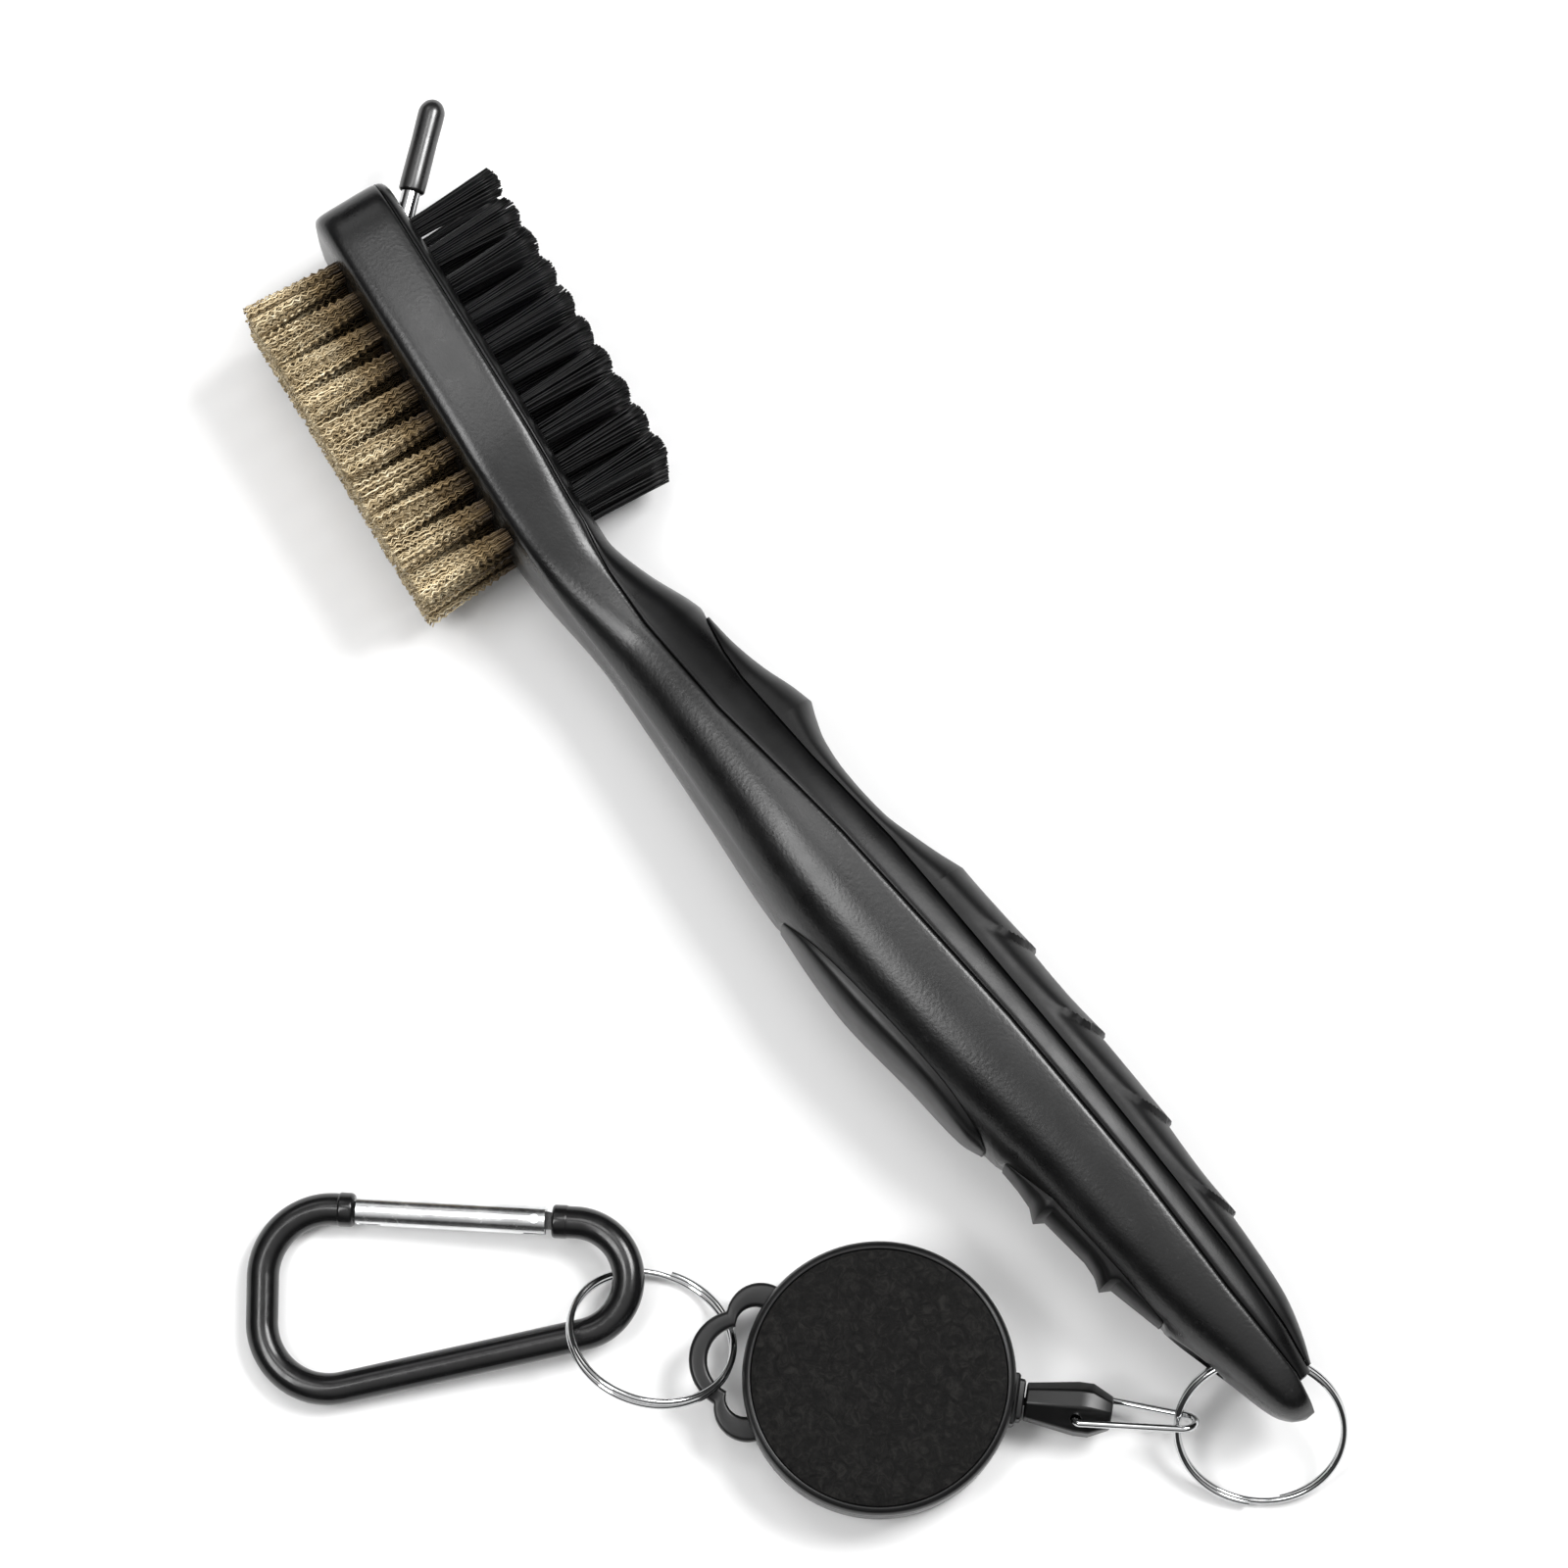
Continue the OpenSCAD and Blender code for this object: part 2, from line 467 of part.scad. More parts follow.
coil_turns = 9;
coil_wire = 0.16;
coil_r = 0.85;
function coil_point(a, b, x0, x1) = let (f = a / (360 * coil_turns), r = coil_r + coil_wire * cos(b))
    [x0 + (x1 - x0) * f + coil_wire * sin(b), r * cos(a), r * sin(a)];
module gate_spring() color("#9ea2a6") in_gate() skin([for (a = [0:30:360 * coil_turns])
    [for (b = [0:72:288]) coil_point(a, b, 6, 16.5)]]);
module gate_plunger() color("#9ea2a6") in_gate() translate([17, 0, 0]) rotate([0, 90, 0])
    cylinder(r = sleeve_bore - 0.05, h = pin_x - 1.15 - 17, $fn = 32);

module whole_object() translate([-box_middle[0], -box_middle[1], 0]) children();
whole_object() handle_core();
whole_object() nylon_side_shell();
whole_object() finger_grip_pad();
whole_object() thumb_inlay();
whole_object() palm_grip_pad();
whole_object() bronze_tufts_top_row();
whole_object() bronze_tufts_middle_row();
whole_object() bronze_tufts_bottom_row();
whole_object() nylon_tufts_top_row();
whole_object() nylon_tufts_middle_row();
whole_object() nylon_tufts_bottom_row();
whole_object() bronze_tuft_anchors();
whole_object() nylon_tuft_anchors();
whole_object() groove_spike();
whole_object() spike_cap();
whole_object() handle_split_ring();
whole_object() wire_loop();
whole_object() cord_end_fitting();
whole_object() cord_knot();
whole_object() cord_lead();
whole_object() reel_back_case();
whole_object() reel_front_cover();
whole_object() reel_face_disc();
whole_object() spool_post();
whole_object() spiral_spring();
whole_object() cord_inner_run();
whole_object() spool();
whole_object() wound_cord();
whole_object() reel_split_ring();
whole_object() carabiner_body();
whole_object() gate_sleeve();
whole_object() gate_pivot_pin();
whole_object() gate_latch_pin();
whole_object() gate_spring();
whole_object() gate_plunger();
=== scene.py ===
import math
import random

import bmesh
import bpy
import numpy as np
from mathutils import Matrix, Vector


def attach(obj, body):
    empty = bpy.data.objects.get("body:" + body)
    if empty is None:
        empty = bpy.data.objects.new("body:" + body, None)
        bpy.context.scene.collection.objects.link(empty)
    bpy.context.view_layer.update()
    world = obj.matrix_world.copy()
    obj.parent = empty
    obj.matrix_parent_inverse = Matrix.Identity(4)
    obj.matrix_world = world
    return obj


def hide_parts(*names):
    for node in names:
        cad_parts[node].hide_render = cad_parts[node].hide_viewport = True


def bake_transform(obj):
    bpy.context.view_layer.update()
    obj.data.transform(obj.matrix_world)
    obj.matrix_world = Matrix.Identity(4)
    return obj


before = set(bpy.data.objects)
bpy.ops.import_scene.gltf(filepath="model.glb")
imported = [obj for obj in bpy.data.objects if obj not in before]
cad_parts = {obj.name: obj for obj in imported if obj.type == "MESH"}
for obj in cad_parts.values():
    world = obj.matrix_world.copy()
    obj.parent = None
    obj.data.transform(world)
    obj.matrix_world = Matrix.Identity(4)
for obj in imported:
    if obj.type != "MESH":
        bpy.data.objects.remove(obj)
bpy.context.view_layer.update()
MM = 0.001
SEAM = 0.03  # gap between moulded layers, mm


# ------------------------------------------------------------------ frames of the object, in mm
def shift(x, y, z=0.0):
    return Matrix.Translation((x, y, z))


def turn(axis, degrees):
    return Matrix.Rotation(math.radians(degrees), 4, axis)


HALF_WIDE = 12.0
BRUSH_LEN = 192.0
HEAD_BEND, BEND_FROM, BEND_LEN = 9.0, -133.0, 16.0
BEND_R = BEND_LEN / math.radians(HEAD_BEND)
HEAD_FROM = BEND_FROM - BEND_LEN
WORLD = shift(94.59, 34.15)  # the brush frame's zero is the handle's end
# Outlines against the station along the brush's centre line
BODY_LOW = [(-192, -5.2), (-190, -5.8), (-150, -5.8), (-140, -6.1), (-127, -6), (-115, -7.2),
            (-103, -8.7), (-90, -10.4), (-75, -10.9), (-60, -10.5), (-44, -9), (-30, -8.3),
            (-18, -7), (-9, -5.1), (-3, -3.8), (-0.8, -2.4), (0, -1)]
BODY_HIGH = [(-192, 4.3), (-190, 4.9), (-150, 4.9), (-140, 4.7), (-137, 4.6), (-131, 5.9),
             (-124, 8.1), (-112, 9), (-90, 10.4), (-70, 11), (-50, 10.6), (-30, 8.9), (-15, 7),
             (-6, 4.4), (-2, 2.8), (-0.8, 1.9), (0, 0.8)]
BODY_HALF = [(-192, 6), (-191, 9), (-188.5, 10.9), (-184, 11.6), (-170, 12), (-155, 11.5),
             (-145, 9.8), (-136, 8.3), (-126, 8.2), (-112, 10), (-96, 11.6), (-80, 12),
             (-56, 11.6), (-34, 10.2), (-16, 8), (-6, 6), (-2, 4.4), (-0.8, 3), (0, 1.2)]
SQUARENESS = [(-192, 6), (-155, 6), (-140, 3.4), (-125, 2.4), (0, 2.3)]
CORE_LINE = [(-192, 3.4), (-150, 3.4), (-141, 3.1), (-134, 1.7), (-126, 0.8), (-112, 0.6),
             (-90, 2), (-60, 2.7), (-35, 2.4), (-18, 1.5), (-5, 1.3), (0, 0.3)]
SHELL_LINE = [(-124, 8), (-121, 7), (-117, 6), (-113, 5.5), (-100, 5.5), (-86, 6.2), (-50, 5.8),
              (-22, 4.9), (-10, 4), (-4, 2.9)]
PAD_PARTS = [[(-123, 7.9), (-117.6, 8.2), (-113, 9), (-108.8, 10.2), (-106, 10.75)],
             [(-106, 10.75), (-104, 9.8), (-101, 8.7), (-96, 8), (-89, 8.2), (-84.5, 9.3),
              (-81, 10.3), (-78, 11.3)],
             [(-78, 11.3), (-70, 11.15), (-58, 10.7), (-45, 10.3), (-30, 8.8), (-20, 7.9),
              (-13, 6.9), (-8, 5.3), (-4.6, 3.7)]]
INLAY_LINE = [(-87, -10.1), (-82, -9.3), (-72, -8.6), (-60, -8.3), (-53, -8.8), (-50, -9.4)]
INLAY_LOW = [(-87, -10.6), (-80, -11.5), (-73, -11.9), (-62, -11.2), (-53, -10.8), (-50, -9.9)]
PALM_LINE = [(-47, -8.7), (-40, -7.4), (-28, -6.9), (-20, -6.8)]
PALM_LOW = [(-47, -9.1), (-44, -9.2), (-41.5, -9.5), (-39.7, -10.5), (-38.9, -9.3), (-32, -8.8),
            (-29.8, -9.1), (-28.1, -9.9), (-27.3, -8.6), (-20, -7.2)]


def line(t, x):
    return float(np.interp(x, [p[0] for p in t], [p[1] for p in t]))


def curve(t, x):
    i = 0
    while i < len(t) - 2 and x >= t[i + 1][0]:
        i += 1

    def rise(k):
        a, b = max(k - 1, 0), min(k + 1, len(t) - 1)
        return (t[b][1] - t[a][1]) / (t[b][0] - t[a][0])

    h = t[i + 1][0] - t[i][0]
    u = min(max((x - t[i][0]) / h, 0), 1)
    return ((2 * u ** 3 - 3 * u ** 2 + 1) * t[i][1] + (u ** 3 - 2 * u ** 2 + u) * h * rise(i)
            + (3 * u ** 2 - 2 * u ** 3) * t[i + 1][1] + (u ** 3 - u ** 2) * h * rise(i + 1))


def bend_at(s):
    return math.radians(HEAD_BEND * min(max((BEND_FROM - s) / BEND_LEN, 0), 1))


def place(s, y, z):
    """Station s on the brush's centre line, y towards the nylon side, z above the middle plane."""
    a = bend_at(s)
    if s > BEND_FROM:
        cx, cy = s, 0.0
    else:
        past = max(HEAD_FROM - s, 0)
        cx = BEND_FROM - BEND_R * math.sin(a) - past * math.cos(a)
        cy = BEND_R * (1 - math.cos(a)) + past * math.sin(a)
    return (cx + y * math.sin(a), cy + y * math.cos(a), HALF_WIDE + z)


def width_at(s, y):
    lo, hi, n = curve(BODY_LOW, s), curve(BODY_HIGH, s), line(SQUARENESS, s)
    v = min(abs((y - (lo + hi) / 2) / ((hi - lo) / 2)), 1)
    return max(curve(BODY_HALF, s) * (1 - v ** n) ** (1 / n), 0.25)


IN_HEAD = WORLD @ Matrix.Translation(place(-BRUSH_LEN, 0, 0)) @ turn("Z", -HEAD_BEND)
SPIKE_AT, SPIKE_TURN = (4.4, 4.9), 135
IN_SPIKE = IN_HEAD @ shift(*SPIKE_AT) @ turn("Z", SPIKE_TURN) @ turn("Y", 90)
RING_R, WIRE_R = 10.2, 0.45
HOLE_AT, RING_TURN, RING_SLOPE, RING_LIFT = (-8.0, 0.0, 12.0), 44.0, 35.0, 1.0
IN_HOLE = WORLD @ Matrix.Translation(HOLE_AT) @ turn("Z", RING_TURN - 90)
IN_RING = IN_HOLE @ turn("Y", RING_SLOPE) @ shift(RING_R - RING_LIFT, 0)
hook = WORLD.inverted() @ IN_RING @ Vector((0, -RING_R, 0))
TETHER_TURN = 41.5
IN_TETHER = WORLD @ shift(hook.x, hook.y) @ turn("Z", TETHER_TURN)
CORD_Z, CORD_R, LOOP_LEN, ROLL, FIT_FRONT, REEL_AT = 4.6, 0.5, 12.0, 125.0, 4, -36.8
LOOP_RISE = math.degrees(math.atan((hook.z - CORD_Z) / LOOP_LEN))
IN_LOOP = IN_TETHER @ shift(-LOOP_LEN, 0, CORD_Z) @ turn("Y", -LOOP_RISE) @ turn("X", ROLL)
IN_FITTING = IN_TETHER @ shift(-LOOP_LEN, 0, CORD_Z) @ turn("X", ROLL) @ shift(FIT_FRONT, 0)
IN_REEL = IN_TETHER @ shift(REEL_AT, 0)
IN_LUG_RING = IN_REEL @ shift(-28.3, 1.25, 6.8) @ turn("Y", 9.4) @ turn("X", -34.1)
IN_CARABINER = IN_REEL @ shift(-76.15, -1.6, 2.05) @ turn("Z", 7.6) @ turn("Y", -4.1)
GATE_FROM, GATE_TO = Vector((11.1, 12.28)), Vector((35.2, 10.93))
gate_dir = GATE_TO - GATE_FROM
GATE_LEN = gate_dir.length
PIN_X = GATE_LEN - 1.8
IN_GATE = (IN_CARABINER @ shift(GATE_FROM.x, GATE_FROM.y)
           @ turn("Z", math.degrees(math.atan2(gate_dir.y, gate_dir.x))))

# ------------------------------------------------------------------ camera and light
VIEW_TURN, VIEW_HIGH = math.radians(49.5), math.radians(80)
FRAME_WIDTH = 193.6 * MM  # what the picture shows across at the target
target = (WORLD @ Vector((-100.75, 1.71, 12.0))) * MM
back = Vector((math.sin(VIEW_TURN) * math.cos(VIEW_HIGH), -math.cos(VIEW_TURN) * math.cos(VIEW_HIGH),
               math.sin(VIEW_HIGH)))
right = Vector((math.cos(VIEW_TURN), math.sin(VIEW_TURN), 0))
flat_up = Vector((-math.sin(VIEW_TURN), math.cos(VIEW_TURN), 0))
cam_data = bpy.data.cameras.new("camera")
cam_data.lens, cam_data.sensor_width = 150, 36
camera = bpy.data.objects.new("camera", cam_data)
bpy.context.collection.objects.link(camera)
camera.location = target + back * (FRAME_WIDTH * cam_data.lens / cam_data.sensor_width)
camera.rotation_mode = "QUATERNION"
camera.rotation_quaternion = back.to_track_quat("Z", "Y")
cam_data.clip_start, cam_data.clip_end = 0.05, 20
bpy.context.scene.camera = camera


def light(name, offset, size, watts, rotation=None):
    """An area light at an offset from the target, facing it unless it is given a rotation."""
    data = bpy.data.lights.new(name, "AREA")
    data.shape = "RECTANGLE"
    data.size, data.size_y = size
    data.energy = watts
    o = bpy.data.objects.new(name, data)
    bpy.context.collection.objects.link(o)
    o.location = target + offset
    o.rotation_mode = "QUATERNION"
    o.rotation_quaternion = rotation.to_quaternion() if rotation else offset.to_track_quat("Z", "Y")


# The band and the panel show as the soft highlights along the handle and on the head
light("band", Vector((-0.2, -0.45, 0.89)), (0.27, 0.54), 4.6, turn("Z", 20) @ turn("X", 29))
light("panel", Vector((-0.3, 0.13, 1.08)), (0.28, 0.3), 1.35, turn("X", -6))
light("key", right * 0.6 + flat_up * 0.36 + Vector((0, 0, 1.0)), (0.46, 0.46), 13.0)
light("fill", right * -0.6 + flat_up * 1.0 + Vector((0, 0, 1.0)), (0.6, 0.4), 1.0)

world = bpy.data.worlds.new("studio")
bpy.context.scene.world = world
world.use_nodes = True
world_nodes, world_links = world.node_tree.nodes, world.node_tree.links
coords = world_nodes.new("ShaderNodeTexCoord")
split = world_nodes.new("ShaderNodeSeparateXYZ")
world_links.new(coords.outputs["Generated"], split.inputs[0])
sky = world_nodes.new("ShaderNodeValToRGB")
world_links.new(split.outputs["Z"], sky.inputs[0])
for pos, grey in ((0.0, 0.4), (0.1, 0.03), (0.5, 0.04), (1.0, 0.06)):
    stop = sky.color_ramp.elements.new(pos) if pos not in (0.0, 1.0) else sky.color_ramp.elements[int(pos)]
    stop.color = (grey, grey, grey, 1)
world_links.new(sky.outputs[0], world_nodes["Background"].inputs["Color"])
world_nodes["Background"].inputs["Strength"].default_value = 1.0
bpy.context.scene.view_settings.view_transform = "Standard"


# ------------------------------------------------------------------ materials
class Nodes:
    """A material's node tree, with short ways to add to it."""

    def __init__(self, name):
        self.mat = bpy.data.materials.new(name)
        self.mat.use_nodes = True
        self.tree = self.mat.node_tree
        self.bsdf = self.tree.nodes["Principled BSDF"]
        self.at = self.add("ShaderNodeTexCoord").outputs["Object"]

    def add(self, kind, **values):
        node = self.tree.nodes.new(kind)
        for key, value in values.items():
            setattr(node, key, value)
        return node

    def link(self, a, b):
        self.tree.links.new(a, b)

    def set(self, **values):
        for key, value in values.items():
            self.bsdf.inputs[key.replace("_", " ")].default_value = value

    def noise(self, scale, detail=3.0, rough=0.55, at=None, distort=0.0):
        n = self.add("ShaderNodeTexNoise")
        self.link(at or self.at, n.inputs["Vector"])
        n.inputs["Scale"].default_value = scale
        n.inputs["Detail"].default_value = detail
        n.inputs["Roughness"].default_value = rough
        n.inputs["Distortion"].default_value = distort
        return n.outputs["Fac"]

    def ramp(self, fac, stops):
        r = self.add("ShaderNodeValToRGB")
        self.link(fac, r.inputs[0])
        for i, (pos, c) in enumerate(stops):
            c = (c, c, c) if isinstance(c, (int, float)) else c
            k = r.color_ramp.elements[i] if i < 2 else r.color_ramp.elements.new(pos)
            k.position, k.color = pos, (*c, 1)
        return r.outputs["Color"]

    def times(self, a, b):
        mix = self.add("ShaderNodeMix", data_type="RGBA", blend_type="MULTIPLY")
        mix.inputs["Factor"].default_value = 1
        self.link(a, mix.inputs["A"])
        self.link(b, mix.inputs["B"])
        return mix.outputs["Result"]

    def bump(self, height, strength, distance):
        b = self.add("ShaderNodeBump")
        b.inputs["Strength"].default_value = strength
        b.inputs["Distance"].default_value = distance
        self.link(height, b.inputs["Height"])
        return b.outputs["Normal"]

    def finish(self, color, rough, normal=None):
        for value, key in ((color, "Base Color"), (rough, "Roughness"), (normal, "Normal")):
            if value is not None:
                self.link(value, self.bsdf.inputs[key])
        return self.mat


MOTTLE = 60  # scale of the slow changes in a plastic's colour; its sheen changes four times as fast


def moulded(name, low, high, rough, grain=2600, grain_deep=0.000005, spec=0.5, deep=0.35):
    """Moulded plastic or rubber: fine spark grain, slow colour change and uneven sheen."""
    m = Nodes(name)
    slow = m.noise(MOTTLE, 3, 0.6)
    fine = m.noise(grain, 2, 0.6)
    color = m.ramp(slow, [(0.38, low), (0.64, high)])
    r = m.ramp(m.noise(MOTTLE * 4, 4, 0.6), [(0.3, rough[0]), (0.75, rough[1])])
    m.set(Specular_IOR_Level=spec)
    return m.finish(color, r, m.bump(fine, deep, grain_deep))


def metal(name, low, high, rough, scratch=900, stretch=(1, 1, 1), deep=0.08):
    """Bare metal with fine scratches in its sheen, drawn out along an axis by stretch."""
    m = Nodes(name)
    m.set(Metallic=1.0)
    mapping = m.add("ShaderNodeMapping")
    m.link(m.at, mapping.inputs[0])
    mapping.inputs["Scale"].default_value = stretch
    streak = m.noise(scratch, 4, 0.6, mapping.outputs[0])
    slow = m.noise(140, 3, 0.5)
    return m.finish(m.ramp(slow, [(0.25, low), (0.75, high)]),
                    m.ramp(streak, [(0.3, rough[0]), (0.75, rough[1])]), m.bump(streak, deep, 0.00002))


def scuffed(name, low, high, rough, spec):
    """Satin plastic with fine grain, faint cloudy wear and a few pale rub marks."""
    m = Nodes(name)
    m.set(Specular_IOR_Level=spec)
    base = m.ramp(m.noise(MOTTLE, 3, 0.6), [(0.38, low), (0.64, high)])
    marks = m.ramp(m.noise(1300, 3, 0.7, distort=0.6), [(0.6, 0.0), (0.72, 1.0)])
    where = m.ramp(m.noise(110, 3, 0.5), [(0.48, 0.0), (0.62, 0.55)])
    mask = m.times(marks, where)
    mix = m.add("ShaderNodeMix", data_type="RGBA")
    m.link(mask, mix.inputs["Factor"])
    m.link(base, mix.inputs["A"])
    mix.inputs["B"].default_value = (0.035, 0.035, 0.036, 1)
    r = m.ramp(m.noise(MOTTLE * 4, 4, 0.6), [(0.3, rough[0]), (0.75, rough[1])])
    return m.finish(mix.outputs["Result"], r, m.bump(m.noise(2200, 2, 0.5), 1.0, 0.000022))


core_mat = scuffed("core_satin", (0.0016, 0.0016, 0.0017), (0.0034, 0.0034, 0.0036), (0.26, 0.33), 0.5)
shell_mat = moulded("shell_gloss", (0.0016, 0.0016, 0.0017), (0.003, 0.003, 0.0032), (0.26, 0.35),
                    grain=2200, grain_deep=0.00002, spec=0.22)
pad_mat = moulded("pad_rubber", (0.0017, 0.0017, 0.0018), (0.0036, 0.0036, 0.0038), (0.38, 0.5),
                  grain=1800, grain_deep=0.00002, spec=0.22)
inlay_mat = moulded("inlay_satin", (0.0022, 0.0022, 0.0023), (0.0042, 0.0042, 0.0044), (0.3, 0.4),
                    spec=0.35)
case_mat = moulded("reel_case", (0.0028, 0.0028, 0.003), (0.0054, 0.0054, 0.0057), (0.28, 0.4),
                   spec=0.35)
fitting_mat = moulded("fitting_satin", (0.0022, 0.0022, 0.0023), (0.004, 0.004, 0.0042), (0.26, 0.38),
                      spec=0.35)
cap_mat = moulded("cap_vinyl", (0.005, 0.005, 0.0055), (0.010, 0.0095, 0.009), (0.24, 0.34),
                  grain=300, grain_deep=0.00005, deep=0.15, spec=0.95)
chrome_mat = metal("chrome", (0.46, 0.465, 0.47), (0.66, 0.665, 0.67), (0.07, 0.13), deep=0.01)
spike_mat = metal("spike_chrome", (0.48, 0.485, 0.49), (0.62, 0.625, 0.63), (0.08, 0.16))
steel_mat = metal("steel", (0.5, 0.51, 0.52), (0.64, 0.65, 0.66), (0.22, 0.36))
anchor_mat = metal("anchor", (0.6, 0.6, 0.6), (0.75, 0.75, 0.75), (0.2, 0.3))
spool_mat = moulded("spool_acetal", (0.62, 0.61, 0.57), (0.72, 0.71, 0.67), (0.35, 0.45))


def face_disc_material():
    """The reel's face, with a coarse mottled grain."""
    m = Nodes("face_disc")
    m.set(Specular_IOR_Level=0.09)
    coarse = m.noise(760, 6, 0.72, distort=1.2)
    fine = m.noise(1500, 4, 0.6)
    mix = m.add("ShaderNodeMath", operation="ADD")
    m.link(coarse, mix.inputs[0])
    m.link(fine, mix.inputs[1])
    color = m.ramp(coarse, [(0.36, (0.0018, 0.0018, 0.0017)), (0.5, (0.0055, 0.0053, 0.0051)),
                            (0.66, (0.0155, 0.0149, 0.014))])
    return m.finish(color, m.ramp(coarse, [(0.3, 0.5), (0.8, 0.72)]), m.bump(mix.outputs[0], 0.8, 0.00018))


def anodised_material():
    m = Nodes("black_anodised")
    m.set(Specular_IOR_Level=0.45)
    return m.finish(m.ramp(m.noise(90, 3), [(0.3, (0.003, 0.003, 0.0032)), (0.7, (0.006, 0.006, 0.0063))]),
                    m.ramp(m.noise(700, 3), [(0.38, 0.17), (0.65, 0.26)]),
                    m.bump(m.noise(500, 2), 0.06, 0.00005))


def wire_material():
    """Phosphor bronze wire, with painted shade that darkens and browns it towards its root."""
    m = Nodes("bronze_wire")
    m.set(Metallic=0.35)
    fac = m.noise(900, 3, 0.6)
    tone = m.ramp(fac, [(0.28, (0.43, 0.335, 0.19)), (0.5, (0.74, 0.615, 0.395)), (0.74, (0.95, 0.86, 0.64))])
    shade = m.add("ShaderNodeAttribute", attribute_name="along")
    # painted shade: the colour falls to dark brown near the board, where the tufts shade each other's roots
    painted_root_shade = m.ramp(shade.outputs["Fac"],
                  [(0.0, (0.07, 0.05, 0.03)), (0.3, (0.34, 0.29, 0.22)), (0.62, (0.95, 0.95, 0.95))])
    each = m.ramp(m.add("ShaderNodeAttribute", attribute_name="tone").outputs["Fac"],
                  [(0.0, (0.26, 0.22, 0.17)), (0.45, (0.74, 0.7, 0.64)), (1.0, (1.2, 1.2, 1.2))])
    color = m.times(m.times(tone, painted_root_shade), each)
    return m.finish(color, m.ramp(fac, [(0.3, 0.28), (0.7, 0.45)]))


def filament_material():
    m = Nodes("nylon_filament")
    m.set(Specular_IOR_Level=0.3)
    fac = m.noise(700, 3, 0.6)
    each = m.ramp(m.add("ShaderNodeAttribute", attribute_name="tone").outputs["Fac"],
                  [(0.1, 0.35), (0.9, 1.6)])
    tone = m.ramp(fac, [(0.3, (0.001, 0.001, 0.0011)), (0.7, (0.0048, 0.0048, 0.005))])
    return m.finish(m.times(tone, each), m.ramp(fac, [(0.3, 0.28), (0.7, 0.45)]))


def cord_material():
    m = Nodes("braided_cord")
    w = m.add("ShaderNodeTexWave", wave_type="BANDS", bands_direction="DIAGONAL")
    w.inputs["Scale"].default_value = 900
    m.link(m.at, w.inputs["Vector"])
    return m.finish(m.ramp(w.outputs["Fac"], [(0.2, (0.006, 0.006, 0.006)), (0.8, (0.03, 0.03, 0.03))]),
                    m.ramp(m.noise(500), [(0.3, 0.6), (0.7, 0.8)]), m.bump(w.outputs["Fac"], 0.5, 0.0001))


disc_mat, anodised_mat, bronze_mat = face_disc_material(), anodised_material(), wire_material()
nylon_mat, cord_mat = filament_material(), cord_material()
gate_mat = metal("gate_aluminium", (0.5, 0.505, 0.51), (0.9, 0.905, 0.91), (0.14, 0.3),
                 scratch=1500, stretch=(1, 1, 0.1), deep=0.2)


# ------------------------------------------------------------------ making pieces
def new_object(name, points, faces, material, matrix=WORLD, sharp=35):
    """A mesh object from points in mm in the frame of matrix. Edges over sharp degrees stay sharp."""
    mesh = bpy.data.meshes.new(name)
    mesh.from_pydata([(matrix @ Vector(p)) * MM for p in points], [], faces)
    bm = bmesh.new()
    bm.from_mesh(mesh)
    bmesh.ops.recalc_face_normals(bm, faces=bm.faces)
    bm.to_mesh(mesh)
    bm.free()
    o = bpy.data.objects.new(name, mesh)
    bpy.context.collection.objects.link(o)
    mesh.materials.append(material)
    mesh.shade_smooth()
    if sharp:
        mesh.set_sharp_from_angle(angle=math.radians(sharp))
    return o


def put(o, body, slot, *nodes):
    """What the piece rides on and the CAD nodes it stands for; the finish named in slot is not used."""
    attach(o, body)
    if nodes:
        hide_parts(*nodes)
    return o


def skin(rings):
    """Faces between rings of equal length, with a face over each end."""
    n = len(rings[0])
    points = [p for r in rings for p in r]
    faces = []
    for k in range(len(rings) - 1):
        a, b = k * n, (k + 1) * n
        for i in range(n):
            j = (i + 1) % n
            faces.append((a + i, a + j, b + j, b + i))
    faces.append(tuple(range(n - 1, -1, -1)))
    faces.append(tuple((len(rings) - 1) * n + i for i in range(n)))
    return points, faces


def join(parts):
    points, faces = [], []
    for p, f in parts:
        base = len(points)
        points += list(p)
        faces += [tuple(base + i for i in g) for g in f]
    return points, faces


def moved(part, m):
    return [tuple(m @ Vector(p)) for p in part[0]], part[1]


def lathe(profile, steps):
    """Closed solid of revolution about z from a profile of (r, z) points, from bottom to top."""
    angles = [2 * math.pi * k / steps for k in range(steps)]
    return skin([[(max(r, 1e-4) * math.cos(a), max(r, 1e-4) * math.sin(a), z) for a in angles]
                 for r, z in profile])


def rounded(profile, radius=0.25, steps=4):
    """A profile with its inner corners rounded."""
    out = [profile[0]]
    for a, b, c in zip(profile, profile[1:], profile[2:]):
        a, b, c = Vector(a), Vector(b), Vector(c)
        r = min(radius, (a - b).length * 0.45, (c - b).length * 0.45)
        p, q = b + (a - b).normalized() * r, b + (c - b).normalized() * r
        for i in range(steps + 1):
            f = i / steps
            out.append(tuple((p * (1 - f) + b * f) * (1 - f) + (b * (1 - f) + q * f) * f))
    out.append(profile[-1])
    return out


